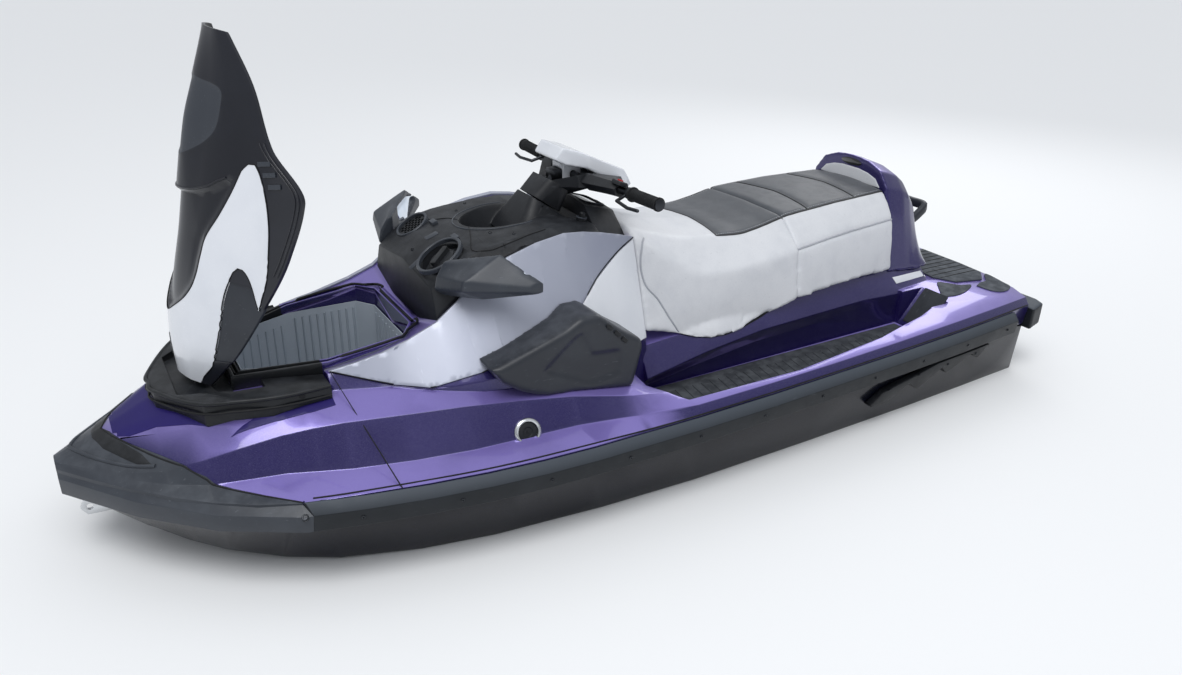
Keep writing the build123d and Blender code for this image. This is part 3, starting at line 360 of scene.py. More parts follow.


# each paint: deep body colour, then the lavender of its painted sky reflection on upward faces
purple = sky_sheen_paint("purple_metallic", (27, 14, 88), (134, 120, 196), 0.62, 0.985)
rim_purple = sky_sheen_paint("purple_rim", (27, 15, 86), (96, 82, 168), 0.6, 1.0)
# painted shade: this satin indigo stands for deck facets that lie in shade
indigo = gloss_skin("indigo_shade_satin", (28, 16, 92), (22, 12, 76), 0.55, coat=0.08, specular=0.25)
silver = gloss_skin("silver_metallic", (170, 174, 188), (146, 151, 170), 0.40, 0.35, coat=0.25)
# painted shade: upright faces of the silver are darker than those that look up
silver.tint(silver.facing("Z", 0.62, 0.30), (124, 129, 150), 0.5)
white = gloss_skin("white_gloss", (222, 225, 231), (196, 201, 210))
hood_black = gloss_skin("hood_black", (20, 22, 30), (32, 35, 46), 0.3, coat=0.3, specular=0.35)
hull_navy = gloss_skin("hull_navy", (6, 8, 20), (14, 17, 32), 0.24, coat=0.2, specular=0.3)
waterline_mark = hull_navy.times(hull_navy.along("Z", -0.03, 0.0), hull_navy.along("Z", 0.035, 0.005))
hull_navy.tint(waterline_mark, (44, 46, 50), 0.35)
hull_navy.tint(hull_navy.patches(0.66, 0.72, 7.0, 5.0, stretch=(0.06, 1, 1)), (48, 54, 70), 0.3)
print("paints", [paint.made.name for paint in (purple, rim_purple, indigo, silver, white, hood_black, hull_navy)])

# %% [markdown]
# The plastics are satin, and most carry the fine grain of their mould. The grain is a voronoi relief a
# millimetre or so across. Dust and salt settle on what faces up, and scuffs run along the craft, so one
# recipe with a few numbers serves them all.

# %% Plastics and rubbers


def moulded(name, colour, light, roughness=0.5, grain_mm=1.1, depth_mm=0.08, dust=0.25):
    plastic = Finish(name, colour, roughness, Specular_IOR_Level=0.32)
    plastic.tint(plastic.patches(0.4, 0.75, 130, 4.0), light, 0.4)
    settled_dust = plastic.times(plastic.facing("Z", 0.5, 0.95), plastic.patches(0.35, 0.7, 36, 5.0))
    plastic.tint(settled_dust, tuple(min(255, c + 34) for c in light), dust)
    scuffs = plastic.patches(0.64, 0.72, 6.0, 5.0, stretch=(0.15, 1, 1))
    plastic.tint(scuffs, tuple(min(255, c + 44) for c in light), 0.3)
    plastic.roughen(scuffs, min(0.95, roughness + 0.2), 0.8)
    plastic.roughen(plastic.patches(0.35, 0.7, 60, 3.0), max(0.1, roughness - 0.12), 0.6)
    plastic.relief(plastic.cells(grain_mm), depth_mm)
    return plastic


# name, colour, paler tone, roughness, size and depth of the grain in mm, share of dust
satin_grey = moulded("satin_grey", (54, 58, 65), (68, 73, 80), 0.40, 0.9, 0.04)
pod_grey = moulded("pod_grey", (44, 47, 53), (58, 62, 69), 0.38, 0.9, 0.04)
console_black = moulded("console_black", (27, 29, 33), (40, 43, 48), 0.50, 1.4, 0.14)
cowl_black = moulded("cowl_black", (20, 22, 25), (34, 37, 42), 0.42, 1.0, 0.05)
rail_rubber = moulded("rail_rubber", (22, 26, 31), (34, 39, 45), 0.55, 0.8, 0.05, 0.2)
# painted sky reflection: the rail's upward faces are tinted a lighter grey
rail_rubber.tint(rail_rubber.facing("Z", 0.35, 0.8), (72, 79, 88), 0.8)
tub_grey = moulded("tub_grey", (168, 177, 187), (150, 159, 170), 0.6, 1.6, 0.12)
mat_foam = moulded("mat_foam", (50, 53, 58), (68, 72, 77), 0.85, 2.4, 0.35, 0.4)
stern_foam = moulded("stern_foam", (62, 66, 72), (82, 87, 93), 0.85, 2.4, 0.35, 0.4)
grip_rubber = moulded("grip_rubber", (24, 25, 27), (38, 40, 43), 0.75, 1.2, 0.12)
seal_rubber = moulded("seal_rubber", (14, 15, 17), (26, 28, 31), 0.62, 0.8, 0.05)
sponson_black = moulded("sponson_black", (20, 22, 26), (36, 39, 44), 0.5, 1.0, 0.06)
print("plastics from", satin_grey.made.name, "to", sponson_black.made.name)

# %% [markdown]
# The seat's cover is grained vinyl. Its grain is a net of fine creases, which are the edges between the
# cells of a voronoi pattern: they are darkened with painted shade, and the same pattern gives them their
# depth. A slow second relief keeps the wide faces from looking like glass.

# %% Vinyl
GRAIN_MM = 2.1


def vinyl(name, colour, deep):
    cover = Finish(name, colour, 0.48, Sheen_Weight=0.12, Sheen_Roughness=0.5, Coat_Weight=0.12, Coat_Roughness=0.35)
    cover.tint(cover.patches(0.4, 0.75, 90, 5.0), deep, 0.4)
    # painted shade in the creases of the grain
    cover.tint(cover.inverse(cover.between(cover.cells(GRAIN_MM, "DISTANCE_TO_EDGE"), 0.0, 0.16)), deep, 0.35)
    cover.tint(cover.patches(0.60, 0.72, 14, 6.0, 0.7), tuple(int(c * 0.82) for c in deep), 0.3)
    cover.roughen(cover.patches(0.4, 0.7, 40, 3.0), 0.6, 0.7)
    cover.relief(cover.cells(GRAIN_MM, "DISTANCE_TO_EDGE"), 0.22, 0.7)
    cover.relief(cover.clouds(28, 2.0), 0.6, 0.5)
    return cover


seat_white = vinyl("seat_vinyl_light", (214, 216, 220), (186, 189, 196))
seat_dark = vinyl("seat_vinyl_dark", (70, 74, 80), (52, 55, 60))
seat_seam = vinyl("seat_seam", (168, 171, 179), (146, 149, 157))
piping_black = vinyl("piping_black", (26, 27, 30), (16, 17, 19))
print("vinyls", [cover.made.name for cover in (seat_white, seat_dark, seat_seam, piping_black)])

# %% [markdown]
# The metals are few: cast alloy in the pump, polished steel for the eyes and fittings, a dark plated
# bar. Cast metal gets pits and a cloudy tone, brushed metal gets streaks along one direction.

# %% Metals and glass


def metal(name, colour, deep, roughness, grain_mm, depth_mm, stretch=(1, 1, 1)):
    made = Finish(name, colour, roughness, Metallic=1.0)
    made.tint(made.patches(0.35, 0.75, 70, 5.0), deep, 0.55)
    made.tint(made.patches(0.62, 0.76, 3.0, 6.0, 0.7), deep, 0.5)
    worn = made.patches(0.4, 0.7, grain_mm * 3, 4.0, stretch=stretch)
    made.roughen(worn, min(1.0, roughness + 0.18), 0.8)
    made.relief(made.clouds(grain_mm, 3.0, stretch=stretch), depth_mm)
    return made


cast_alloy = metal("cast_alloy", (168, 172, 176), (118, 122, 127), 0.42, 1.6, 0.12)
polished = metal("polished_steel", (214, 216, 218), (176, 179, 184), 0.14, 1.0, 0.01, (0.2, 1, 1))
dark_plate = metal("dark_plate", (66, 68, 72), (44, 46, 50), 0.34, 1.0, 0.03, (1, 0.1, 1))
blade_steel = metal("blade_steel", (188, 190, 194), (138, 141, 146), 0.26, 0.8, 0.03, (1, 0.2, 1))
mirror_face = Finish("mirror_face", (214, 222, 232), 0.03, Metallic=1.0)
mirror_face.roughen(mirror_face.patches(0.55, 0.75, 18, 5.0), 0.16, 0.8)
mirror_face.tint(mirror_face.patches(0.4, 0.8, 30, 4.0), (190, 202, 216), 0.6)
dark_glass = Finish("dark_glass", (8, 10, 12), 0.08, Coat_Weight=1.0, Coat_Roughness=0.03)
dark_glass.roughen(dark_glass.patches(0.5, 0.75, 22, 5.0), 0.24, 0.8)
dark_glass.tint(dark_glass.patches(0.4, 0.8, 60, 3.0), (20, 24, 30), 0.7)
red_plastic = moulded("red_plastic", (168, 28, 26), (140, 20, 20), 0.4, 0.8, 0.03, 0.1)
green_plastic = moulded("green_plastic", (40, 120, 62), (30, 96, 50), 0.4, 0.8, 0.03, 0.1)
print("metals and glass ready")

# %% [markdown]
# A moulded part has no sharp edges. The rigid solids are copied, joined up, and given a small round with
# the Bevel modifier on every edge that turns more than a set angle. Shading is smooth across what is
# left, so the reflections run over an edge as they do on a real moulding. Each copy then stands for its
# solid and rides on the same body.

# %% Finished pieces from the rigid solids


def settle(piece, body, finish=None, stands_for=()):
    """Last steps that every piece takes: finish, body and the solids it stands for."""
    if finish is not None:
        piece.data.materials.clear()
        piece.data.materials.append(finish.made)
    if stands_for:
        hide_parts(*stands_for)
    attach(piece, body)
    return piece


def object_from(shape, name):
    mesh = bpy.data.meshes.new(name)
    shape.to_mesh(mesh)
    shape.free()
    made = bpy.data.objects.new(name, mesh)
    bpy.context.collection.objects.link(made)
    return made


def bake(piece):
    """The piece's modifiers become its mesh."""
    graph = bpy.context.evaluated_depsgraph_get()
    mesh = bpy.data.meshes.new_from_object(piece.evaluated_get(graph), depsgraph=graph)
    piece.modifiers.clear()
    piece.data = mesh
    return piece


def shade(piece, degrees=32.0):
    piece.data.shade_smooth()
    piece.data.set_sharp_from_angle(angle=math.radians(degrees))
    return piece


def skin_area(mesh):
    return sum(face.area for face in mesh.polygons)


def round_edges(piece, width_mm, steps=2, degrees=24.0, clamp=False):
    """Rounds the sharp edges. A round that would fold the surface over is tried again, narrower and clamped."""
    plain = piece.data.copy()
    bevel = piece.modifiers.new("rounds", "BEVEL")
    bevel.width = width_mm / 1000
    bevel.segments = steps
    bevel.limit_method = "ANGLE"
    bevel.angle_limit = math.radians(degrees)
    bevel.use_clamp_overlap = clamp
    bevel.harden_normals = False
    bevel.miter_outer = "MITER_ARC"
    bake(piece)
    grown = skin_area(piece.data) / skin_area(plain)
    if grown > 1.02 and not clamp:
        print(piece.name, "grew to", round(grown, 3), "and is rounded again")
        piece.data = plain
        return round_edges(piece, width_mm * 0.5, steps, degrees, True)
    return piece


print("bevel and shading helpers ready")

# %% [markdown]
# Some parts have no edges to round at all: a blow-moulded pod or a mirror shell flows from face to face.
# A Subdivision Surface would need a cage of four-sided faces, which a solid's triangles aren't. So such a
# form gets an even net from a voxel Remesh and is relaxed, and a large thin panel is split finely and
# relaxed only between its sharp edges, which keeps its outline.

# %% Relaxed forms


def soften(piece, voxel_mm, relax):
    """An even net over a solid form, relaxed until its corners are as round as a blow-moulded part's."""
    net_over = piece.modifiers.new("net", "REMESH")
    net_over.mode = "VOXEL"
    net_over.voxel_size = voxel_mm / 1000
    relaxing = piece.modifiers.new("relax", "SMOOTH")
    relaxing.factor, relaxing.iterations = 0.5, relax
    return bake(piece)


MOST_SPLITS = 6
SHORT_EDGE = 0.005


def fair_skin(piece, edge_mm, rounds, keep_degrees=24.0):
    """Splits a skin finely and relaxes what lies between its sharp edges, so that facets flow together."""
    shape = bmesh.new()
    shape.from_mesh(piece.data)
    bmesh.ops.triangulate(shape, faces=shape.faces)
    for _ in range(MOST_SPLITS):
        long_edges = [e for e in shape.edges if e.calc_length() > edge_mm / 1000]
        if not long_edges:
            break
        bmesh.ops.subdivide_edges(shape, edges=long_edges, cuts=1)
        bmesh.ops.triangulate(shape, faces=[f for f in shape.faces if len(f.verts) > 3])
    sharp = math.radians(keep_degrees)
    held = {v for e in shape.edges if len(e.link_faces) != 2 or e.calc_face_angle() > sharp for v in e.verts}
    held |= {v for e in shape.edges if e.calc_length() < SHORT_EDGE and held.intersection(e.verts) for v in e.verts}
    free = [v for v in shape.verts if v not in held]
    for _ in range(rounds):
        bmesh.ops.smooth_vert(shape, verts=free, factor=0.5, use_axis_x=True, use_axis_y=True, use_axis_z=True)
    shape.to_mesh(piece.data)
    shape.free()
    return piece


# %% [markdown]
# One table says what each solid becomes: the name of the piece, its finish and the radius of its rounds.
# The exceptions stand in short tables of their own, so that a row stays easy to read.

# %% The mouldings
# forms that are relaxed all over: (net in mm, rounds of relaxing)
SOFT_FORMS = {"side_pods": (4.5, 30), "mirror_housings": (3.0, 24), "stern_caps": (5.0, 10), "seat_hump": (5.5, 12),
              "handlebar_cover": (3.0, 8)}
# panels that are relaxed between their sharp edges: (longest edge in mm, rounds of relaxing)
FAIRED = dict.fromkeys(("side_panel_port", "side_panel_starboard", "knee_panels"), (16, 40))
# the angle in degrees past which shading stays sharp, and the pieces that have a smaller one
SHARP_FROM, SOFT_SHARP_FROM = 30, 60
CRISPER = dict.fromkeys(("deck", "bow_cap", "side_pods", "seat_hump"), 26)

# node: (piece name, finish, round in mm)
MOULDINGS = {
    "hull": ("hull_shell", hull_navy, 6.0),
    "deck": ("deck_moulding", purple, 2.5),
    "bow_cap": ("bow_cap_moulding", satin_grey, 5.0),
    "rub_rails": ("rub_rail", rail_rubber, 2.0),
    "stern_caps": ("stern_bumpers", rail_rubber, 5.0),
    "side_panel_port": ("silver_panel_port", silver, 1.2),
    "side_panel_starboard": ("silver_panel_starboard", silver, 1.2),
    "knee_panels": ("knee_panel_pair", white, 1.2),
    "side_pods": ("side_pod_pair", pod_grey, 3.0),
    "storage_bin": ("storage_tub", tub_grey, 1.0),
    "storage_rim": ("storage_lip", rim_purple, 1.6),
    "hood_cowl": ("hinge_surround", cowl_black, 3.5),
    "console": ("console_moulding", console_black, 2.5),
    "vent_grille": ("vent_honeycomb", cowl_black, 0.0),
    "fuel_cap": ("fuel_filler_cap", cowl_black, 0.9),
    "mirror_housings": ("mirror_shells", satin_grey, 3.0),
    "mirror_glasses": ("mirror_glass_pair", mirror_face, 0.5),
    "glove_lid": ("glove_lid_moulding", console_black, 2.5),
    "display": ("display_glass", dark_glass, 0.4),
    "seat_hump": ("seat_hump_moulding", purple, 6.0),
    "footwell_mats": ("footwell_mat_set", mat_foam, 1.5),
    "platform_mats": ("platform_mat_pair", stern_foam, 1.5),
    "pump_housing": ("pump_body", cast_alloy, 1.0),
    "ride_plate": ("ride_plate_casting", cast_alloy, 1.5),
    "intake_grate": ("intake_bars", cast_alloy, 1.0),
    "sponsons": ("sponson_pair", sponson_black, 3.0),
    "bow_eye": ("bow_eye_steel", polished, 1.5),
    "tow_eye": ("tow_eye_steel", polished, 1.5),
    "hood_arms": ("hood_arm_pair", dark_plate, 1.0),
    "handlebar": ("handlebar_tube", dark_plate, 0.6),
    "steering_neck": ("steering_neck_cover", console_black, 2.0),
    "handlebar_cover": ("handlebar_top_cover", white, 3.0),
    "bar_shells": ("bar_side_shells", console_black, 2.0),
    "grips": ("grip_pair", grip_rubber, 1.0),
    "hand_levers": ("lever_pair", dark_plate, 0.8),
    "impeller": ("impeller_wheel", blade_steel, 0.8),
    "steering_nozzle": ("nozzle_casting", cast_alloy, 1.0),
    "reverse_bucket": ("reverse_gate_casting", cast_alloy, 1.2),
    "engine_block": ("engine_casting", cast_alloy, 6.0),
}
made_pieces = {}
for node, (name, finish, width) in MOULDINGS.items():
    piece = object_from(welded(node), name)
    if node in SOFT_FORMS:
        soften(piece, *SOFT_FORMS[node])
    elif width:
        round_edges(piece, width)
    if node in FAIRED:
        fair_skin(piece, *FAIRED[node])
    shade(piece, SOFT_SHARP_FROM if node in SOFT_FORMS else CRISPER.get(node, SHARP_FROM))
    made_pieces[node] = settle(piece, BODY_OF[node], finish, [node])
print("rounded", len(made_pieces), "pieces with", sum(len(p.data.polygons) for p in made_pieces.values()), "faces")

# %% [markdown]
# Two pieces need one more step. Each mirror glass is drawn in about its own middle, so that it stands a
# little inside the softened edge of its shell. The lip of the storage is painted only as far as the
# tray: forward of it the same moulding is black, so the mesh is cut across there and its faces sorted.

# %% Mirror glasses and the lip's two tones
GLASS_SHARE = 0.93
LIP_BLACK_FROM = 1.003
glasses = made_pieces["mirror_glasses"].data
for sign in (1, -1):
    points = [v for v in glasses.vertices if v.co.y * sign > 0]
    middle = sum((v.co for v in points), Vector()) / len(points)
    for v in points:
        v.co = middle.lerp(v.co, GLASS_SHARE)
lip = made_pieces["storage_rim"].data
shape = bmesh.new()
shape.from_mesh(lip)
bmesh.ops.bisect_plane(shape, geom=[*shape.verts, *shape.edges, *shape.faces],
                       plane_co=(LIP_BLACK_FROM, 0, 0), plane_no=(1, 0, 0))
for face in shape.faces:
    face.material_index = int(face.calc_center_median().x > LIP_BLACK_FROM)
shape.to_mesh(lip)
shape.free()
lip.materials.append(cowl_black.made)
print("lip", len(lip.polygons), "faces,", sum(face.material_index for face in lip.polygons), "of them black")

# %% [markdown]
# The seat is firm foam under stretched vinyl, in two halves. The solid gives its place and its creases.
# The copy is remeshed to an even net, relaxed, then raised a little between the sewn lines and drawn in
# along them, which is what a tight cover does. Piping and stitches are laid on the sewn lines after.

# %% Seat cushions
SEAT_LINES = {
    "seat_front": [
        [(-296, 186, 802), (-340, 195, 800), (-400, 200, 800), (-560, 200, 830)],
        [(-15, 190, 838), (10, 218, 825), (28, 237, 770), (20, 257, 710), (-18, 271, 662), (-54, 289, 598),
         (-84, 303, 552)],
    ],
    "seat_rear": [
        [(-561, 200, 832), (-800, 190, 846), (-1060, 170, 850)],
        [(-561, 288, 740), (-800, 265, 756), (-1060, 235, 760)],
    ],
}
# welts across the top: (x at the middle, half length, how far the ends lie ahead)
CROSS_LINES = {"seat_front": [(-322, 186, 26)], "seat_rear": [(-700, 196, 26), (-930, 182, 26)]}
# the lower edge of the cover: x, the solid's own edge, the edge as it hangs over the pedestal
HEMS = {
    "seat_front": [(38, 578, 578), (-20, 564, 564), (-80, 556, 546), (-140, 554, 526), (-200, 554, 515),
                   (-260, 553, 513), (-330, 552, 522), (-420, 550, 540), (-500, 556, 560), (-560, 574, 574)],
    "seat_rear": [(-560, 574, 574), (-800, 584, 584), (-1060, 572, 572)],
}
HEM_TOP, HEM_REACH = 612.0, 235
COVER_NET_MM, COVER_RELAX = 9.0, 7
# in metres: how far the cover swells between its seams, how far a seam draws it in, and the reach of each
SWELL, SWELL_REACH, TUCK, TUCK_REACH = 0.006, 0.035, 0.0035, 0.008


def fine_points(points, step_mm=12.0):
    """A path with points every few millimetres, on a smooth curve through the given ones."""
    result = []
    ends = [points[0], *points, points[-1]]
    for a, b, c, d in zip(ends, ends[1:], ends[2:], ends[3:]):
        count = max(1, int(math.dist(b, c) / step_mm))
        for k in range(count):
            t = k / count
            result.append(tuple(
                0.5 * (2 * q + (r - p) * t + (2 * p - 5 * q + 4 * r - s) * t * t + (3 * q - p - 3 * r + s) * t ** 3)
                for p, q, r, s in zip(a, b, c, d)))
    result.append(tuple(points[-1]))
    return result


def seat_paths(node):
    """The sewn lines of one seat half, both sides, as points of the scene."""
    paths = []
    for line in SEAT_LINES[node]:
        for sign in (1, -1):
            paths.append([at(x, sign * y, z) for x, y, z in fine_points(line)])
    for x, half, bow in CROSS_LINES[node]:
        run = []
        for k in range(41):
            y = half * (1 - k / 20)
            run.append(touch([node], at(x + bow * (abs(y) / half) ** 2, y, 1100), (0, 0, -1))[0])
        paths.append(run)
    return paths


def between_rows(rows_of, x, column):
    """A column of a table at x, on straight lines between its rows. The rows run aft."""
    for low, high in zip(rows_of, rows_of[1:]):
        if high[0] <= x <= low[0]:
            return low[column] + (high[column] - low[column]) * (low[0] - x) / (low[0] - high[0])
    return rows_of[0][column] if x > rows_of[0][0] else rows_of[-1][column]


print("sewn lines", {node: len(lines) for node, lines in SEAT_LINES.items()})

# %% [markdown]
# The real cover ends in a hem that hangs over the pedestal in a slow curve. The points of the cushion's
# foot are moved down to that curve and out past the wall behind them, found by a ray. Then the cover
# swells between its seams: each point moves along its normal by how far it is from the nearest one.

# %% The cushions


def hang_hem(piece, node):
    """The foot of the cover is drawn down over the pedestal to a clean curved hem, a little proud of it."""
    for vertex in piece.data.vertices:
        x, y, z = vertex.co.x * 1000, vertex.co.y * 1000, vertex.co.z * 1000 + WATERLINE_MM
        if z > HEM_TOP or abs(y) < HEM_REACH:
            continue
        own, hung = (between_rows(HEMS[node], x, column) for column in (1, 2))
        share = (HEM_TOP - max(z, own)) / (HEM_TOP - own)
        lower = HEM_TOP - share * (HEM_TOP - hung)
        side = math.copysign(1, y)
        wall = surface_of(["deck"]).ray_cast(at(x, side * 420, lower), Vector((0, -side, 0)))[0]
        wall_y = abs(wall.y) * 1000 if wall is not None else 0.0
        outer = vertex.normal.y * side > -0.1
        proud = max(abs(y) + (2.0 * share if outer else 0.0), wall_y + (6.0 if outer else 0.6))
        vertex.co = at(x, side * proud, lower)


def cushion(node, name):
    piece = soften(object_from(welded(node), name), COVER_NET_MM, COVER_RELAX)
    hang_hem(piece, node)
    paths = seat_paths(node)
    lines = BVHTree.FromPolygons([p for path in paths for p in path],
                                 [(i, i + 1, i) for i in seam_edges(paths)])
    moved = []
    for vertex in piece.data.vertices:
        near, _, _, distance = lines.find_nearest(vertex.co)
        side = max(0.0, min(1.0, (vertex.normal.z + 0.75) / 0.5))
        crown = SWELL * (1 - math.exp(-distance / SWELL_REACH)) - TUCK * math.exp(-(distance / TUCK_REACH) ** 2)
        moved.append(vertex.co + vertex.normal * crown * side)
    for vertex, place in zip(piece.data.vertices, moved):
        vertex.co = place
    finer = piece.modifiers.new("finer", "SUBSURF")
    finer.levels = finer.render_levels = 1
    bake(piece)
    shade(piece, 60)
    piece.data.materials.append(seat_white.made)
    piece.data.materials.append(seat_dark.made)
    settle(piece, BODY_OF[node], None, [node])
    return piece, paths


def seam_edges(paths):
    start = 0
    for path in paths:
        yield from range(start, start + len(path) - 1)
        start += len(path)


cushions = {}
sewn = {}
for node, name in (("seat_front", "seat_front_cushion"), ("seat_rear", "seat_rear_cushion")):
    cushions[node], sewn[node] = cushion(node, name)
    print(name, len(cushions[node].data.polygons), "faces")

# %% [markdown]
# The seat's top is a darker panel between the two upper seams. The colour follows the seams, so it is
# given by face: what lies inboard of the upper sewn line, and looks up, takes the dark cloth.

# %% The dark seat top
welt_x, welt_half, welt_bow = CROSS_LINES["seat_front"][0]
UPWARD = 0.25
for node, piece in cushions.items():
    for face in piece.data.polygons:
        x, y = face.center.x * 1000, face.center.y * 1000
        inboard = abs(y) < between_rows(SEAT_LINES[node][0], x, 1) - 1
        aft = node == "seat_rear" or x < welt_x + welt_bow * (y / welt_half) ** 2
        face.material_index = int(inboard and aft and face.normal.z > UPWARD)
print("dark faces", {node: sum(f.material_index for f in piece.data.polygons) for node, piece in cushions.items()})

# %% [markdown]
# Piping, seals and seams all follow a path. A curve object with a bevel would do for one of them. Here a
# Geometry Nodes tree turns the edges of a mesh into a round strip, so that many paths make one piece. Its
# inputs are the radius, the number of sides and the finish. The strip is then made a plain mesh, with
# its place in its points.

# %% A strip along a path


def new_tree(name, inputs):
    made = bpy.data.node_groups.new(name, "GeometryNodeTree")
    made.interface.new_socket("Geometry", in_out="INPUT", socket_type="NodeSocketGeometry")
    for label, kind in inputs:
        made.interface.new_socket(label, in_out="INPUT", socket_type="NodeSocket" + kind)
    made.interface.new_socket("Geometry", in_out="OUTPUT", socket_type="NodeSocketGeometry")
    source = made.nodes.new("NodeGroupInput")
    result = made.nodes.new("NodeGroupOutput")
    return made, source, result


def dress(piece, made_tree, **values):
    """Runs a tree on an object and keeps the outcome as its mesh."""
    modifier = piece.modifiers.new("dress", "NODES")
    modifier.node_group = made_tree
    sockets = {item.name: item.identifier for item in made_tree.interface.items_tree if item.in_out == "INPUT"}
    for label, value in values.items():
        modifier[sockets[label.replace("_", " ")]] = value
    bpy.context.view_layer.update()
    return bake(piece)


strip_tree, strip_in, strip_out = new_tree(
    "strip_along_path", [("Radius", "Float"), ("Sides", "Int"), ("Finish", "Material")])
to_curve = strip_tree.nodes.new("GeometryNodeMeshToCurve")
profile = strip_tree.nodes.new("GeometryNodeCurvePrimitiveCircle")
sweep = strip_tree.nodes.new("GeometryNodeCurveToMesh")
sweep.inputs["Fill Caps"].default_value = True
smooth = strip_tree.nodes.new("GeometryNodeSetShadeSmooth")
realize = strip_tree.nodes.new("GeometryNodeRealizeInstances")
coat = strip_tree.nodes.new("GeometryNodeSetMaterial")
connect(strip_tree, (
    (strip_in.outputs["Geometry"], to_curve.inputs["Mesh"]),
    (strip_in.outputs["Radius"], profile.inputs["Radius"]),
    (strip_in.outputs["Sides"], profile.inputs["Resolution"]),
    (to_curve.outputs["Curve"], sweep.inputs["Curve"]),
    (profile.outputs["Curve"], sweep.inputs["Profile Curve"]),
    (sweep.outputs["Mesh"], smooth.inputs["Geometry"]),
    (smooth.outputs["Geometry"], realize.inputs["Geometry"]),
    (realize.outputs["Geometry"], coat.inputs["Geometry"]),
    (strip_in.outputs["Finish"], coat.inputs["Material"]),
    (coat.outputs["Geometry"], strip_out.inputs["Geometry"])))


def path_object(name, paths, closed=False):
    """A mesh of edges only, one run of them for each path."""
    mesh = bpy.data.meshes.new(name)
    verts, edges = [], []
    for path in paths:
        start = len(verts)
        verts += [tuple(p) for p in path]
        edges += [(start + i, start + i + 1) for i in range(len(path) - 1)]
        if closed:
            edges.append((start + len(path) - 1, start))
    mesh.from_pydata(verts, edges, [])
    made = bpy.data.objects.new(name, mesh)
    bpy.context.collection.objects.link(made)
    return made


def strips(name, paths, radius_mm, finish, body="craft", sides=8, closed=False):
    """One piece of round strips along several paths."""
    piece = path_object(name, paths, closed)
    dress(piece, strip_tree, Radius=radius_mm / 1000, Sides=sides, Finish=finish.made)
    return settle(piece, body)


def laid(nodes, points, direction, lift_mm=0.0, step_mm=15.0):
    """A path dropped on to the solids along a direction, then lifted off them a little."""
    path = []
    for x, y, z in fine_points(points, step_mm):
        hit, normal = touch(nodes, at(x, y, z), direction)
        path.append(hit + normal * lift_mm / 1000)
    return path


def mirrored_paths(paths):
    return [*paths, *[[Vector((p[0], -p[1], p[2])) for p in path] for path in paths]]


def nearest_on(piece, path, lift_mm=0.0):
    mesh = piece.data
    tree = BVHTree.FromPolygons([v.co for v in mesh.vertices], [list(p.vertices) for p in mesh.polygons])
    result = []
    for p in path:
        hit, normal, _, _ = tree.find_nearest(Vector(p))
        result.append(hit + normal * lift_mm / 1000)
    return result


for node, piece in cushions.items():
    welts = [nearest_on(piece, path, 0.6) for path in sewn[node]]
    strips(node + "_piping", welts[:2], 3.2, piping_black, BODY_OF[node])
    strips(node + "_side_seam", welts[2:4], 3.0, seat_seam, BODY_OF[node], sides=10)
    strips(node + "_cross_welt", welts[4:], 2.4, piping_black, BODY_OF[node])
print("piping on", list(cushions))

# %% [markdown]
# Beside the upper piping runs a row of stitches. A second tree sets a small stitch at even steps along a
# path and turns it along the path. Each stitch is a short capsule with a few faces only, as there are
# hundreds of them.

# %% Stitches
row_tree, row_in, row_out = new_tree(
    "row_along_path", [("Pitch", "Float"), ("Part", "Object"), ("Finish", "Material")])
row_curve = row_tree.nodes.new("GeometryNodeMeshToCurve")
row_points = row_tree.nodes.new("GeometryNodeCurveToPoints")
row_points.mode = "LENGTH"
row_part = row_tree.nodes.new("GeometryNodeObjectInfo")
row_part.transform_space = "ORIGINAL"
row_set = row_tree.nodes.new("GeometryNodeInstanceOnPoints")
row_real = row_tree.nodes.new("GeometryNodeRealizeInstances")
row_coat = row_tree.nodes.new("GeometryNodeSetMaterial")
connect(row_tree, (
    (row_in.outputs["Geometry"], row_curve.inputs["Mesh"]),
    (row_in.outputs["Pitch"], row_points.inputs["Length"]),
    (row_curve.outputs["Curve"], row_points.inputs["Curve"]),
    (row_in.outputs["Part"], row_part.inputs["Object"]),
    (row_points.outputs["Points"], row_set.inputs["Points"]),
    (row_part.outputs["Geometry"], row_set.inputs["Instance"]),
    (row_points.outputs["Rotation"], row_set.inputs["Rotation"]),
    (row_set.outputs["Instances"], row_real.inputs["Geometry"]),
    (row_real.outputs["Geometry"], row_coat.inputs["Geometry"]),
    (row_in.outputs["Finish"], row_coat.inputs["Material"]),
    (row_coat.outputs["Geometry"], row_out.inputs["Geometry"])))


def template(name, shape):
    """A small part that a tree repeats. It isn't shown itself."""
    mesh = bpy.data.meshes.new(name)
    shape.to_mesh(mesh)
    shape.free()
    made = bpy.data.objects.new(name, mesh)
    for face in mesh.polygons:
        face.use_smooth = True
    return made


def capsule(radius_mm, length_mm):
    shape = bmesh.new()
    bmesh.ops.create_uvsphere(shape, u_segments=6, v_segments=4, radius=radius_mm / 1000)
    for vertex in shape.verts:
        vertex.co.z += math.copysign(length_mm / 2000, vertex.co.z) if abs(vertex.co.z) > 1e-6 else 0.0
    return shape


stitch = template("stitch_part", capsule(0.75, 3.6))


STITCH_PITCH_MM = 8.0
STITCH_INBOARD = 0.009
for node, piece in cushions.items():
    beside = []
    for path in sewn[node][:2]:
        shifted = [Vector((p[0], p[1] - math.copysign(STITCH_INBOARD, p[1]), p[2] + 0.002)) for p in path]
        beside.append(nearest_on(piece, shifted, 0.3))
    stitches = path_object(node + "_stitches", beside)
    dress(stitches, row_tree, Pitch=STITCH_PITCH_MM / 1000, Part=stitch, Finish=seat_white.made)
    settle(stitches, BODY_OF[node])
print("stitch rows sewn")

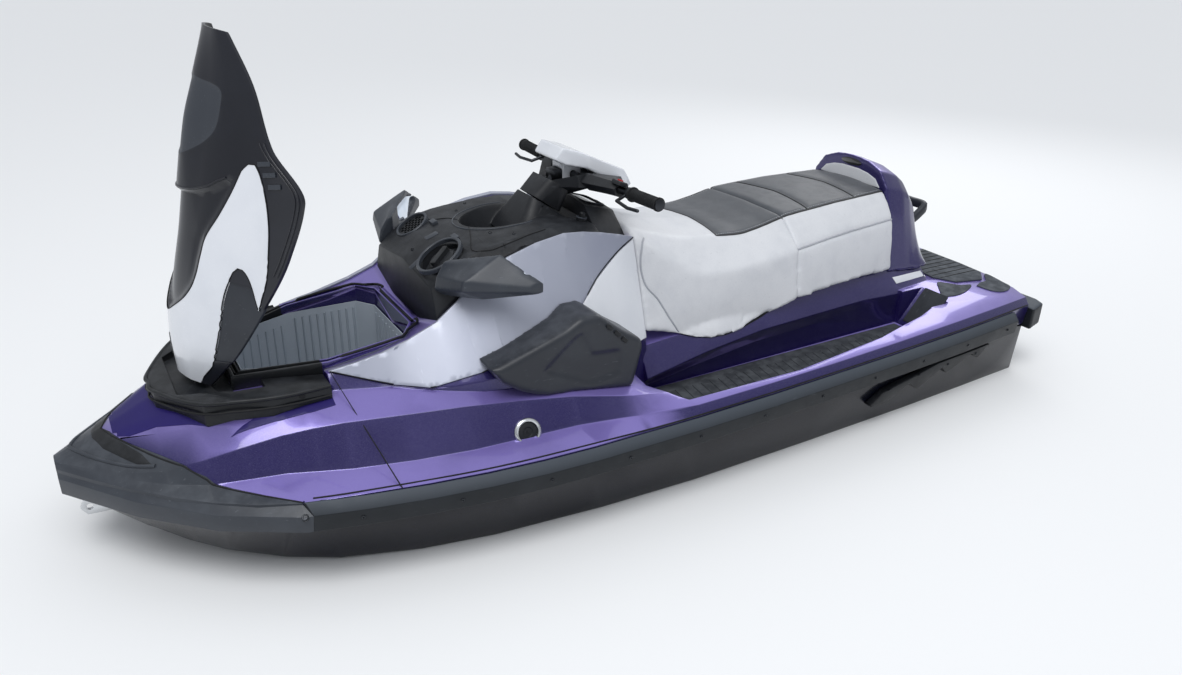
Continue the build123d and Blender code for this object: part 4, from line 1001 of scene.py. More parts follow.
# %% [markdown]
# Panels that lie on a faceted surface, such as a stripe, a dark facet or a pad, are cut from a net of
# small triangles in a plane and dropped on to the solid, so they fold over its creases. A Shrinkwrap
# modifier would slide the net's points about, and a plain ray for each point doesn't. A thin wall is
# then grown on their outer side.

# %% Patches that follow a surface


def inside(point, outline):
    x, y = point
    hit = False
    for (x0, y0), (x1, y1) in zip(outline, [*outline[1:], outline[0]]):
        if (y0 > y) != (y1 > y) and x < (x1 - x0) * (y - y0) / (y1 - y0) + x0:
            hit = not hit
    return hit


def net(outline, step):
    """Triangles over a flat outline, with points every step inside it and along its edge."""
    edge = []
    for (x0, y0), (x1, y1) in zip(outline, [*outline[1:], outline[0]]):
        count = max(1, int(math.hypot(x1 - x0, y1 - y0) / step))
        edge += [(x0 + (x1 - x0) * k / count, y0 + (y1 - y0) * k / count) for k in range(count)]
    xs, ys = [p[0] for p in edge], [p[1] for p in edge]
    grid = []
    columns, lines = int((max(xs) - min(xs)) / step) + 1, int((max(ys) - min(ys)) / step) + 1
    for i in range(columns):
        for j in range(lines):
            p = (min(xs) + (i + 0.5) * step, min(ys) + (j + 0.5) * step)
            if inside(p, outline) and min(math.hypot(p[0] - q[0], p[1] - q[1]) for q in edge) > 0.45 * step:
                grid.append(p)
    points = [Vector(p) for p in [*edge, *grid]]
    ring = [(i, (i + 1) % len(edge)) for i in range(len(edge))]
    flat, _, faces, _, _, _ = delaunay_2d_cdt(points, ring, [list(range(len(edge)))], 1, 1e-6)
    return flat, faces


def border_of(faces):
    """The edges that only one face has, each in that face's own direction."""
    sides = dict.fromkeys((i, j) for face in faces for i, j in zip(face, [*face[1:], face[0]]))
    return [(i, j) for i, j in sides if (j, i) not in sides]


PATCH_LIFT_MM, PATCH_SUNK_MM = 0.15, 0.4


def patch(name, nodes, outline, place, direction, thick_mm, finish, body="craft", step=9.0, twin=False,
          round_mm=0.0):
    """outline is in mm in a plane. place turns its (a, b) into (x, y, z) in mm above the keel."""
    flat, faces = net(outline, step)
    top_points, bottom_points = [], []
    for a, b in flat:
        hit, normal = touch(nodes, at(*place(a, b)), direction)
        top_points.append(hit + normal * (PATCH_LIFT_MM + thick_mm) / 1000)
        bottom_points.append(hit - normal * (PATCH_SUNK_MM / 1000))
    count = len(flat)
    shape = bmesh.new()
    for sign in ((1, -1) if twin else (1,)):
        verts = [shape.verts.new((p.x, sign * p.y, p.z)) for p in [*top_points, *bottom_points]]
        for face in faces:
            shape.faces.new([verts[i] for i in face])
            shape.faces.new([verts[count + i] for i in reversed(face)])
        for i, j in border_of(faces):
            shape.faces.new([verts[j], verts[i], verts[count + i], verts[count + j]])
    bmesh.ops.recalc_face_normals(shape, faces=shape.faces)
    piece = object_from(shape, name)
    if round_mm:
        round_edges(piece, round_mm, 2, 50)
    shade(piece, 35)
    return settle(piece, body, finish)


def from_above(a, b):
    return a, b, 1400


DOWN, INWARD = (0, 0, -1), (0, -1, 0)
SKIN = ["deck", "bow_cap"]
print("patch tools ready")

# %% [markdown]
# Turned parts - rings, caps, screws, the round fittings on the flanks - come from a profile swept round
# an axis, as on a lathe. The Screw modifier would do the same, but here the pole is a single point from
# the start, so nothing has to be merged. The profile is a list of (radius, height) from the foot to the
# top, and closes on the axis or, for a ring, on itself. Flat plates are an outline pulled up and bevelled.

# %% Turned parts


def frame_on(origin, axis, hint=(1, 0, 0)):
    """A place with its Z along axis and its X as near to hint as it can be."""
    z = Vector(axis).normalized()
    x = (Vector(hint) - z * Vector(hint).dot(z)).normalized()
    return Matrix.Translation(origin) @ Matrix((x, z.cross(x), z)).transposed().to_4x4()


def turned(profile, ring=False, steps=40):
    shape = bmesh.new()
    loops = []
    for radius, height in profile:
        if radius < 1e-6:
            loops.append([shape.verts.new((0, 0, height / 1000))])
        else:
            loops.append([shape.verts.new((radius / 1000 * math.cos(2 * math.pi * k / steps),
                                           radius / 1000 * math.sin(2 * math.pi * k / steps), height / 1000))
                          for k in range(steps)])
    pairs = list(zip(loops, loops[1:]))
    if ring:
        pairs.append((loops[-1], loops[0]))
    for low, high in pairs:
        for k in range(steps):
            n = (k + 1) % steps
            corners = [low[k % len(low)], low[n % len(low)], high[n % len(high)], high[k % len(high)]]
            shape.faces.new(list(dict.fromkeys(corners)))
    bmesh.ops.recalc_face_normals(shape, faces=shape.faces)
    return shape


def mark_on(nodes, point_mm, direction, hint=(1, 0, 0)):
    """The place where a ray from a point of the drawing meets the solids, with its Z along their outward normal."""
    return frame_on(*touch(nodes, at(*point_mm), direction), hint)


def place_shapes(name, shape, places, finish, body="craft", sharp=35):
    """Copies of one small shape at several places, as one piece."""
    base = bpy.data.meshes.new(name + "_base")
    shape.to_mesh(base)
    shape.free()
    whole = bmesh.new()
    for place in places:
        part = bmesh.new()
        part.from_mesh(base)
        part.transform(place)
        spare = bpy.data.meshes.new("spare")
        part.to_mesh(spare)
        part.free()
        whole.from_mesh(spare)
        bpy.data.meshes.remove(spare)
    bpy.data.meshes.remove(base)
    bmesh.ops.recalc_face_normals(whole, faces=whole.faces)
    return settle(shade(object_from(whole, name), sharp), body, finish)


def slab(outline, thick_mm, round_mm):
    """A flat plate from its outline in mm, rounded on its upper edge."""
    shape = bmesh.new()
    low = [shape.verts.new((a / 1000, b / 1000, 0)) for a, b in outline]
    face = shape.faces.new(low)
    grown = bmesh.ops.extrude_face_region(shape, geom=[face])
    upper = [v for v in grown["geom"] if isinstance(v, bmesh.types.BMVert)]
    bmesh.ops.translate(shape, vec=(0, 0, thick_mm / 1000), verts=upper)
    bmesh.ops.recalc_face_normals(shape, faces=shape.faces)
    edges = [e for e in shape.edges if all(v in upper for v in e.verts)]
    bmesh.ops.bevel(shape, geom=edges, offset=round_mm / 1000, segments=2, affect="EDGES", profile=0.5)
    return shape


def oval(a, b, count=28):
    return [(a * math.cos(2 * math.pi * k / count), b * math.sin(2 * math.pi * k / count)) for k in range(count)]


def rounded_box(a, b, r, count=5):
    points = []
    for cx, cy, start in ((a - r, b - r, 0), (r - a, b - r, 90), (r - a, r - b, 180), (a - r, r - b, 270)):
        points += [(cx + r * math.cos(math.radians(start + 90 * k / count)),
                    cy + r * math.sin(math.radians(start + 90 * k / count))) for k in range(count + 1)]
    return points


# %% [markdown]
# Screws hold the rubber rail, the sponsons, the ride plate and the pump. One head with a socket is turned
# once, and a tree sets it on a cloud of points. Each point stores the outward direction that a ray found
# there, as a named attribute, so that every head stands square to its own face.

# %% Screws
screw_tree, screw_in, screw_out = new_tree("parts_on_points", [("Part", "Object"), ("Finish", "Material")])
screw_part = screw_tree.nodes.new("GeometryNodeObjectInfo")
screw_part.transform_space = "ORIGINAL"
screw_dir = screw_tree.nodes.new("GeometryNodeInputNamedAttribute")
screw_dir.data_type = "FLOAT_VECTOR"
screw_dir.inputs["Name"].default_value = "outward"
screw_turn = screw_tree.nodes.new("FunctionNodeAlignRotationToVector")
screw_turn.axis = "Z"
screw_set = screw_tree.nodes.new("GeometryNodeInstanceOnPoints")
screw_real = screw_tree.nodes.new("GeometryNodeRealizeInstances")
screw_coat = screw_tree.nodes.new("GeometryNodeSetMaterial")
connect(screw_tree, (
    (screw_in.outputs["Geometry"], screw_set.inputs["Points"]),
    (screw_in.outputs["Part"], screw_part.inputs["Object"]),
    (screw_part.outputs["Geometry"], screw_set.inputs["Instance"]),
    (screw_dir.outputs["Attribute"], screw_turn.inputs["Vector"]),
    (screw_turn.outputs["Rotation"], screw_set.inputs["Rotation"]),
    (screw_set.outputs["Instances"], screw_real.inputs["Geometry"]),
    (screw_real.outputs["Geometry"], screw_coat.inputs["Geometry"]),
    (screw_in.outputs["Finish"], screw_coat.inputs["Material"]),
    (screw_coat.outputs["Geometry"], screw_out.inputs["Geometry"])))


def socket_screw(radius, name):
    profile = [(0, -0.4), (radius, -0.4), (radius, radius * 0.35), (radius * 0.82, radius * 0.55),
               (radius * 0.45, radius * 0.6), (radius * 0.42, 0.05), (0, 0.05)]
    return template(name, turned(profile, steps=16))


rail_screw = socket_screw(5.0, "rail_screw_part")
pump_bolt = socket_screw(7.5, "pump_bolt_part")


def on_points(name, spots, part, finish):
    """spots are (point, outward direction)."""
    piece = path_object(name, [[point] for point, _ in spots])
    outward = piece.data.attributes.new("outward", "FLOAT_VECTOR", "POINT")
    outward.data.foreach_set("vector", [c for _, n in spots for c in n])
    dress(piece, screw_tree, Part=part, Finish=finish.made)
    settle(shade(piece, 40), "craft")
    print(name, len(spots))


OUTSIDE = 900


def from_side(node, x, z, sign):
    """Where a level ray from port (1) or starboard (-1) meets a solid."""
    return touch([node], at(x, sign * OUTSIDE, z), (0, -sign, 0))


RAIL_FROM, RAIL_PITCH, RAIL_SCREWS, RAIL_Z = -1380, 240, 11, 384
FLANGE_X, FLANGE_R, PUMP_Z = -1342, 100, 128
rail_xs = [RAIL_FROM + k * RAIL_PITCH for k in range(RAIL_SCREWS)]
on_points("rail_screws", [from_side("rub_rails", x, RAIL_Z, sign) for x in rail_xs for sign in (1, -1)],
          rail_screw, dark_plate)
sponson_xs = (-760, -905, -1060, -1220)
on_points("sponson_screws", [from_side("sponsons", x, 326, sign) for x in sponson_xs for sign in (1, -1)],
          rail_screw, dark_plate)
plate_spots = [touch(["ride_plate"], at(x, y, -60), (0, 0, 1)) for x in (-1350, -1435, -1520) for y in (-128, 128)]
on_points("ride_plate_screws", plate_spots, pump_bolt, polished)
turns = [math.radians(a) for a in range(15, 375, 45)]
flange_spots = [(at(FLANGE_X, FLANGE_R * math.cos(a), PUMP_Z + FLANGE_R * math.sin(a)), Vector((-1, 0, 0)))
                for a in turns]
on_points("pump_flange_bolts", flange_spots, pump_bolt, polished)

# %% [markdown]
# Black seams and seals mark where mouldings meet: the bow cap, the rail and the silver panels against
# the deck, the foot of the seat, the lip of the storage. Each is a thin rubber strip laid half into the
# surface. Its path is found by rays, so it stays on the solids if they change.

# %% Seams and seals
ABOVE = 900
CAP_SEAM = [(1145, 478), (1358, 282), (1488, 90), (1527, 0)]
cap_path = laid(SKIN, [(x, y, ABOVE) for x, y in CAP_SEAM], DOWN, 0.2, 10)
strips("bow_cap_seam", mirrored_paths([cap_path]), 2.2, seal_rubber)
deck_crease = [(-1530, 436), (-1120, 436), (-500, 436), (50, 436), (400, 436), (700, 436), (1000, 434), (1120, 431)]
bond_points = []
for x, z in deck_crease:
    hit, normal = touch(["deck"], at(x, OUTSIDE, z + 2.0), INWARD)
    bond_points.append(tuple(hit + normal * 0.0004))
strips("rail_seal", mirrored_paths([[Vector(p) for p in fine_points(bond_points, 0.03)]]), 2.4, seal_rubber)
PANEL_FOOT = [(1000, 650), (850, 604), (760, 592), (610, 622), (386, 702), (305, 719), (219, 777), (113, 827),
              (42, 850)]
panel_path = []
for x, z in fine_points(PANEL_FOOT, 12):
    hit, normal = touch(["side_panel_port", "deck"], at(x, OUTSIDE, z + 1.5), INWARD)
    panel_path.append(hit - normal * 0.0006)
strips("silver_panel_seal", mirrored_paths([panel_path]), 1.8, seal_rubber)
seat_foot = []
for x in range(20, -470, -12):
    hit, normal = touch(["deck"], at(x, 420, between_rows(HEMS["seat_front"], x, 2) - 1.0), INWARD)
    seat_foot.append(hit + normal * 0.002)
strips("seat_foot_seal", mirrored_paths([seat_foot]), 3.0, seal_rubber)
STORAGE_RIM = [(724, 0), (724, 150), (771, 215), (985, 215), (1190, 133), (1201, 118), (1201, 0)]
rim_path = [touch(["storage_rim"], at(x, y, ABOVE), DOWN)[0] + Vector((0, 0, 0.0015))
            for x, y in fine_points(STORAGE_RIM, 12)]
strips("storage_seal", mirrored_paths([rim_path]), 4.2, seal_rubber, sides=12)
print("seals with", [len(path) for path in (cap_path, bond_points, panel_path, seat_foot, rim_path)], "points")

# %% [markdown]
# The flank of the bow carries one bright round fitting on each side: a polished ring with a dark middle.
# It is the biggest shiny thing on the paint, so it is turned with a proper rolled rim.

# %% Round fittings on the flanks
FITTING_R = 39.0
fitting_places = [mark_on(["deck"], (574, sign * OUTSIDE, 520), (-0.06, -sign * 0.91, -0.12)) for sign in (1, -1)]
ring_profile = [(FITTING_R, -3), (FITTING_R, 3), (FITTING_R - 2, 6), (FITTING_R - 6, 8), (FITTING_R - 10, 6.5),
                (FITTING_R - 13, 2), (FITTING_R - 13, -3)]
place_shapes("flank_fitting_rings", turned(ring_profile, True, 56), fitting_places, polished)
core_profile = [(0, -2), (FITTING_R - 12, -2), (FITTING_R - 12, 1), (FITTING_R - 16, 3), (14, 3.2), (12, 1.0),
                (4, 1.0), (3, 4), (0, 4.4)]
place_shapes("flank_fitting_cores", turned(core_profile, False, 48), fitting_places, console_black)
print("fittings at", [tuple(round(v, 3) for v in p.translation) for p in fitting_places])

# %% [markdown]
# The bow cap is one satin moulding. Its top has a sunk triangle in shade, drawn here as a darker inlay
# of painted shade with a raised lip ahead of it, and a recessed fastener on each flank near the rail.

# %% Bow cap details
BOW_RECESS_SHADE = [(1551, 20), (1533, 74), (1467, 176), (1435, 210), (1453, 160), (1507, 60), (1519, 0)]
# painted shade: the dark inlay stands for the shade in the cap's sunk triangle
patch("bow_cap_inlay", ["bow_cap"], flipped(BOW_RECESS_SHADE), from_above, DOWN, 0.8, cowl_black, round_mm=0.4)
CAP_LIP = [(1605, 0), (1592, 30), (1545, 95), (1480, 168), (1430, 214)]
lip_path = laid(["bow_cap"], [(x, y, ABOVE) for x, y in CAP_LIP], DOWN, 0.5, 10)
strips("bow_cap_lip", mirrored_paths([lip_path]), 5.0, satin_grey, sides=12)
fastener = turned([(0, -2), (9, -2), (9, 1.2), (7.5, 2.2), (5.5, 1.8), (5, -1.0), (0, -1.0)], steps=24)
fastener_places = [mark_on(["bow_cap"], (1300, sign * OUTSIDE, 452), (0, -sign, 0)) for sign in (1, -1)]
place_shapes("bow_cap_fasteners", fastener, fastener_places, dark_plate)
print("bow cap recess shade", len(BOW_RECESS_SHADE), "points, lip", len(lip_path))

# %% [markdown]
# The hood stands open. It is one thin moulding in two tones: white legs that join at the foot, a black
# head, dark inserts in the notches. Its face is drawn here as a smooth skin through the stations of the
# solid, with the colour breaks as edges of the net, so that each tone is a piece of its own with a clean
# curved border. Sorting the solid's own triangles by colour would leave a jagged one.

# %% The hood's stations and its lines of colour
HOOD_FOOT = (1310.0, 0.0, 640.0)
HOOD_LEAN = math.radians(11.7)
hood_up = Vector((-math.sin(HOOD_LEAN), 0, math.cos(HOOD_LEAN)))
hood_out = Vector((math.cos(HOOD_LEAN), 0, math.sin(HOOD_LEAN)))
# u, middle, ridge, crease, edge: (half width, height)
HOOD_STATIONS = [
    (-20, (0, 8), (60, -6), (90, -30), (112, -52)),
    (90, (0, 34), (84, 16), (160, -58), (188, -88)),
    (220, (0, 44), (92, 22), (208, -98), (238, -128)),
    (380, (0, 38), (98, 6), (244, -128), (296, -164)),
    (520, (0, 37), (104, -8), (246, -128), (320, -178)),
    (620, (0, 34), (104, -14), (190, -86), (232, -118)),
    (750, (0, 16), (92, -16), (150, -62), (168, -80)),
    (856, (0, 0), (70, -8), (92, -22), (100, -30)),
]
HOOD_WALL = 8.0
NOSE_LINE = [(466, 0), (475, 62), (497, 112), (511, 128), (536, 160)]
LEG_INNER = [(150, 0), (160, 24), (202, 79), (240, 104), (280, 114), (330, 117), (377, 122), (439, 145), (506, 166),
             (556, 178)]
LEG_OUTER = [(556, 178), (576, 190), (578, 203), (556, 218), (504, 235), (451, 245), (400, 249), (314, 250), (268, 243),
             (229, 235)]
NOTCH = [(229, 235), (256, 228), (282, 221), (306, 211), (320, 200), (321, 191), (308, 183), (288, 178), (229, 168),
         (124, 158), (51, 139), (5, 107), (-20, 92)]
HEAD_FACET = [(742, 0), (738, 40), (729, 104), (692, 114), (637, 110), (600, 84), (566, 40), (548, 0)]
INSERT_TOP = [(282, 178), (282, 221)]
INSERT_FOOT = [(62, 143), (100, 300)]


print("hood stations", len(HOOD_STATIONS))

# %% [markdown]
# The height of the skin at a point comes from curves through the stations, first up the hood and then
# across it. A common spline would swing past its points and ripple the panel, so the slopes are limited
# here as in a monotone cubic. The outline of the hood comes from the widths at the same stations.

# %% The shape of its skin


def smooth_through(xs, ys, x, flat_start=False):
    """A smooth curve through a short table, which never swings past the table's own values."""
    if x <= xs[0]:
        return ys[0]
    if x >= xs[-1]:
        return ys[-1]
    steps = [b - a for a, b in zip(xs, xs[1:])]
    rise = [(b - a) / h for a, b, h in zip(ys, ys[1:], steps)]
    slope = [0.0 if flat_start else rise[0]]
    for (d0, d1), (h0, h1) in zip(zip(rise, rise[1:]), zip(steps, steps[1:])):
        w0, w1 = 2 * h1 + h0, h1 + 2 * h0
        slope.append(0.0 if d0 * d1 <= 0 else (w0 + w1) / (w0 / d0 + w1 / d1))
    slope.append(rise[-1])
    k = sum(x >= v for v in xs) - 1
    h, t = steps[k], (x - xs[k]) / steps[k]
    return ((1 + 2 * t) * (1 - t) ** 2 * ys[k] + t * (1 - t) ** 2 * h * slope[k]
            + t * t * (3 - 2 * t) * ys[k + 1] + t * t * (t - 1) * h * slope[k + 1])


stations_u = [row[0] for row in HOOD_STATIONS]


def half_width_at(u):
    return smooth_through(stations_u, [row[4][0] for row in HOOD_STATIONS], u)


def hood_section_at(u):
    """The section's corners at one height: (half width, height), each corner rounded into two points."""
    corners = [tuple(smooth_through(stations_u, [row[k][n] for row in HOOD_STATIONS], u) for n in (0, 1))
               for k in range(1, 5)]
    points = [corners[0]]
    for before, here, after in zip(corners, corners[1:], corners[2:]):
        for other in (before, after):
            share = min(0.4, 20.0 / math.dist(here, other))
            points.append(tuple(a + (b - a) * share for a, b in zip(here, other)))
    return [*points, corners[-1]]


_sections = {}


def hood_height(u, y):
    key = round(u, 1)
    if key not in _sections:
        _sections[key] = hood_section_at(key)
    section = _sections[key]
    return smooth_through([q[0] for q in section], [q[1] for q in section], abs(y), flat_start=True)


print("half width at mid height", round(half_width_at(400.0), 1), "mm")

# %% [markdown]
# Between the legs the black dips into a trough that ends under a raised nose. The depth depends on how
# far a point lies from the trough's edge, eased so that the wall rolls in and out.

# %% Zones, trough and facet


def to_line(point, line):
    """How far a point lies from a run of straight pieces."""
    best = 1e9
    for (x0, y0), (x1, y1) in zip(line, line[1:]):
        dx, dy = x1 - x0, y1 - y0
        t = max(0.0, min(1.0, ((point[0] - x0) * dx + (point[1] - y0) * dy) / max(1e-9, dx * dx + dy * dy)))
        best = min(best, math.hypot(point[0] - x0 - t * dx, point[1] - y0 - t * dy))
    return best


def ease(t):
    t = max(0.0, min(1.0, t))
    return t * t * (3 - 2 * t)


leg_inner, leg_outer, notch, nose_line, head_facet = (
    fine_points(line, 8) for line in (LEG_INNER, LEG_OUTER, NOTCH, NOSE_LINE, HEAD_FACET))
HOOD_LOW, HOOD_HIGH = stations_u[0], stations_u[-1]
HOOD_LENGTH = HOOD_HIGH - HOOD_LOW
MOST_WIDE = 330
OUTLINE_STEPS = 110
silhouette = [(u, half_width_at(u))
              for u in [HOOD_LOW + HOOD_LENGTH * k / OUTLINE_STEPS for k in range(OUTLINE_STEPS + 1)]]
white_zone = [(-20, 0), (150, 0), *leg_inner, *leg_outer, *notch]
trough_zone = [(150, 0), *leg_inner, (540, 172), *reversed(nose_line)]
insert_zone = [(282, 170), (282, 230), (229, 244), (216, 330), (100, 330), (100, 300), (60, 136), (124, 150),
               (229, 160)]
half_outline = [(HOOD_LOW, 0), *silhouette, (HOOD_HIGH, 0)]


def sink(spot):
    """How deep the black dips: into the trough between the legs, and a little at the head's facet."""
    if inside(spot, trough_zone):
        return 12.0 * min(ease(to_line(spot, leg_inner) / 24.0), ease(to_line(spot, nose_line) / 8.0))
    return 2.5 * ease(to_line(spot, head_facet) / 8.0) if inside(spot, head_facet) else 0.0


print("zones with", len(white_zone), len(trough_zone), len(insert_zone), "points")

# %% [markdown]
# The net over the hood is a Delaunay triangulation with fixed edges: outline and colour breaks go in as
# edges, and points on an even grid fill the rest. Each triangle then belongs to one tone, the port half
# is mirrored to starboard, and an inner skin and walls make it a closed shell with a real thickness.

# %% The net and the three tones


def half_net(step):
    """Triangles over the port half of the hood, with every colour break as an edge of the net."""
    borders = [half_outline, leg_inner, leg_outer, notch, nose_line, head_facet, INSERT_TOP, INSERT_FOOT,
               [(a - 8, b) for a, b in nose_line if b < 132]]
    points, edges = [], []
    for line in borders:
        start = len(points)
        dense = []
        for (x0, y0), (x1, y1) in zip(line, line[1:]):
            count = max(1, int(math.hypot(x1 - x0, y1 - y0) / step))
            dense += [(x0 + (x1 - x0) * k / count, y0 + (y1 - y0) * k / count) for k in range(count)]
        if line is half_outline:
            (x0, y0), (x1, y1) = line[-1], line[0]
            dense += [(x0 + (x1 - x0) * k / OUTLINE_STEPS, 0.0) for k in range(OUTLINE_STEPS)]
            points += dense
            edges += [(i, (i + 1) % len(dense)) for i in range(len(dense))]
            ring = list(range(len(dense)))
        else:
            points += [*dense, line[-1]]
            edges += [(start + i, start + i + 1) for i in range(len(dense))]
    taken = {}
    for q in points:
        taken.setdefault((int(q[0] // step), int(q[1] // step)), []).append(q)
    for i in range(int(HOOD_LENGTH / step)):
        for j in range(int(MOST_WIDE / step)):
            q = (HOOD_LOW + (i + 0.5) * step, (j + 0.5) * step)
            cell = (int(q[0] // step), int(q[1] // step))
            near = [r for a in (-1, 0, 1) for b in (-1, 0, 1) for r in taken.get((cell[0] + a, cell[1] + b), ())]
            if inside(q, half_outline) and all(math.dist(q, r) > 0.55 * step for r in near):
                points.append(q)
    flat, _, faces, _, _, _ = delaunay_2d_cdt([Vector(q) for q in points], edges, [ring], 1, 1e-4)
    return flat, faces


def zone_of(face, flat):
    centre = (sum(flat[i][0] for i in face) / len(face), sum(flat[i][1] for i in face) / len(face))
    if inside(centre, white_zone):
        return "white"
    if inside(centre, insert_zone):
        return "insert"
    return "facet" if inside(centre, head_facet) else "black"


def on_hood(u, y, w=160.0):
    """u runs up the open hood from its foot, y to port, w out of its face; all in mm, and so is the outcome."""
    return tuple(Vector(HOOD_FOOT) + hood_up * u + Vector((0, y, 0)) + hood_out * w)


def on_skin(u, y, w):
    return at(*on_hood(u, y, w))


flat, net_faces = half_net(8.0)
zones = {}
for face in net_faces:
    zones.setdefault(zone_of(face, flat), []).append(face)
lift = {"white": 1.0, "insert": -3.0, "black": 0.0}
ON_CENTRE = 0.05


def hood_piece(name, zone_names, finish, node):
    """One tone of the hood: outer skin, inner skin and the walls between them, both halves."""
    shape = bmesh.new()
    faces = [(face, zone) for zone in zone_names for face in zones[zone]]
    used = sorted({i for face, _ in faces for i in face})
    made = {}
    for sign in (1, -1):
        for i in used:
            u, y = flat[i]
            w = hood_height(u, y) + lift[zone_names[0]] - (sink((u, y)) if "black" in zone_names else 0.0)
            slope_u = (hood_height(u + 4, y) - hood_height(u - 4, y)) / 8
            slope_y = (hood_height(u, y + 2) - hood_height(u, y - 2)) / 4 if y >= 2 else 0.0
            normal = Vector((-slope_u, -slope_y, 1)).normalized() * HOOD_WALL
            outer = on_skin(u, sign * y, w)
            inner = on_skin(u - normal.x, sign * max(0.0, y - normal.y), w - normal.z)
            shared = abs(y) < ON_CENTRE and sign < 0
            made[(sign, i)] = made[(1, i)] if shared else (shape.verts.new(outer), shape.verts.new(inner))
        for face, zone in faces:
            upper = shape.faces.new([made[(sign, i)][0] for i in face])
            lower = shape.faces.new([made[(sign, i)][1] for i in reversed(face)])
            upper.material_index = 1 if zone == "facet" else 0
            lower.material_index = 2
        for i, j in border_of([face for face, _ in faces]):
            if max(abs(flat[i][1]), abs(flat[j][1])) >= ON_CENTRE:
                a, b = made[(sign, i)], made[(sign, j)]
                shape.faces.new((b[0], a[0], a[1], b[1])).material_index = 0
    bmesh.ops.recalc_face_normals(shape, faces=shape.faces)
    piece = object_from(shape, name)
    for tone in (finish, satin_grey, cowl_black):
        piece.data.materials.append(tone.made)
    shade(piece, 38)
    return settle(piece, "hood", None, [node])


hood_tones = [hood_piece("hood_black_shell", ("black", "facet"), hood_black, "hood_shell"),
              hood_piece("hood_white_panels", ("white",), white, "hood_panel"),
              hood_piece("hood_side_inserts", ("insert",), pod_grey, "hood_inserts")]
skin_points, skin_faces = [], []
for piece in hood_tones:
    start = len(skin_points)
    skin_points += [v.co.copy() for v in piece.data.vertices]
    skin_faces += [[start + i for i in p.vertices] for p in piece.data.polygons]
HOOD = ["hood skin"]
_trees[tuple(HOOD)] = BVHTree.FromPolygons(skin_points, skin_faces)
print("hood net", len(flat), "points", {name: len(faces) for name, faces in zones.items()})

# %% [markdown]
# Small things on the hood: an end wall in its foot, three louvres and a double bead along each flank, a
# slot for the latch low on the white foot, beads where the white meets the black and under the nose, and
# two pairs of stiffening ribs on the inner side. Each louvre is a grey slat, lighter than the black, as a
# painted sky reflection. The rays that place them run into the hood's face, which leans, so they are
# given in the hood's own directions.

# %% Hood details
INTO_HOOD = -hood_out
end_wall = bmesh.new()
wall_top = [(y, hood_height(-20, y) - 2.0) for y in range(-108, 109, 6)]
half_foot = [(108, -51), (60, -51), (60, -13), (32, -13), (32, -51)]
ring = [*wall_top, *half_foot, *[(-y, w) for y, w in reversed(half_foot)]]
front = [end_wall.verts.new(on_skin(-19.5, y, w)) for y, w in ring]
back = [end_wall.verts.new(on_skin(-8.0, y, w)) for y, w in ring]
end_wall.faces.new(front)
end_wall.faces.new(back[::-1])
for k in range(len(ring)):
    n = (k + 1) % len(ring)
    end_wall.faces.new((front[k], back[k], back[n], front[n]))
bmesh.ops.recalc_face_normals(end_wall, faces=end_wall.faces)
bmesh.ops.triangulate(end_wall, faces=[f for f in end_wall.faces if len(f.verts) > 4])
settle(shade(object_from(end_wall, "hood_foot_wall")), "hood", cowl_black)
# painted sky reflection: each louvre is a grey slat, lighter than the black hood
for k, (u, y) in enumerate(((586, 224), (564, 238), (540, 252))):
    outline = [(u - 10, y - 13), (u + 1, y - 15), (u + 10, y + 13), (u - 1, y + 15)]
    patch(f"hood_louvre_{k}", HOOD, outline, on_hood, INTO_HOOD, 3.0, satin_grey, "hood", twin=True, round_mm=0.8,
          step=6.0)


def on_face(spots, lift_mm=0.0):
    """A path over the hood's face through points given as (u, y)."""
    hits = [touch(HOOD, at(*on_hood(u, y)), INTO_HOOD) for u, y in spots]
    return [hit + normal * lift_mm / 1000 for hit, normal in hits]


FLANK_BEAD_FROM, FLANK_BEAD_TO = 330, 640
for k, (inset, radius) in enumerate(((8, 2.6), (17, 1.8))):
    bead = on_face([(u - 0.2 * inset, y - inset) for u, y in silhouette if FLANK_BEAD_FROM < u < FLANK_BEAD_TO], 0.4)
    strips(f"hood_flank_bead_{k}", mirrored_paths([bead]), radius, hood_black, "hood")
patch("hood_latch_slot", HOOD, [(52 + a, b) for a, b in oval(34, 8)], on_hood, INTO_HOOD, 0.8, cowl_black, "hood",
      round_mm=0.3, step=4.0)
break_line = on_face([*leg_inner, *leg_outer[1:], *notch[1:-2]])
strips("hood_colour_break", mirrored_paths([break_line]), 1.5, seal_rubber, "hood", sides=6)
nose_bead = on_face([(u + 4, y) for u, y in nose_line[:-2]])
strips("hood_nose_bead", mirrored_paths([nose_bead]), 2.6, hood_black, "hood")
RIB_FROM, RIB_STEP, RIB_POINTS = 250, 19, 24
RIB_DEPTH, TROUGH_DEPTH, RIM_CLEAR = 4.0, 12.0, 30
inner_ribs = []
for y0, y1 in ((58, 96), (150, 176)):
    run = []
    for k in range(RIB_POINTS):
        u = RIB_FROM + RIB_STEP * k
        y = y0 + (y1 - y0) * math.sin(math.pi * k / (RIB_POINTS - 1))
        if y < half_width_at(u) - RIM_CLEAR:
            under_trough = TROUGH_DEPTH if y < 120 and u < 500 else 0.0
            run.append(on_skin(u, y, hood_height(u, y) - HOOD_WALL - RIB_DEPTH - under_trough))
    inner_ribs.append(run)
strips("hood_inner_ribs", mirrored_paths(inner_ribs), 6.0, cowl_black, "hood", sides=10)
print("hood ribs", [len(run) for run in inner_ribs], "colour break", len(break_line))

# %% [markdown]
# The console is a black moulding with a honeycomb vent to starboard and the filler cap to port. Rings
# edge both. Two small plain plates, three clips and five screws stand about them, a bead edges the dish,
# and a fine joint line runs across. Each finds the console's faceted top by a ray from above.

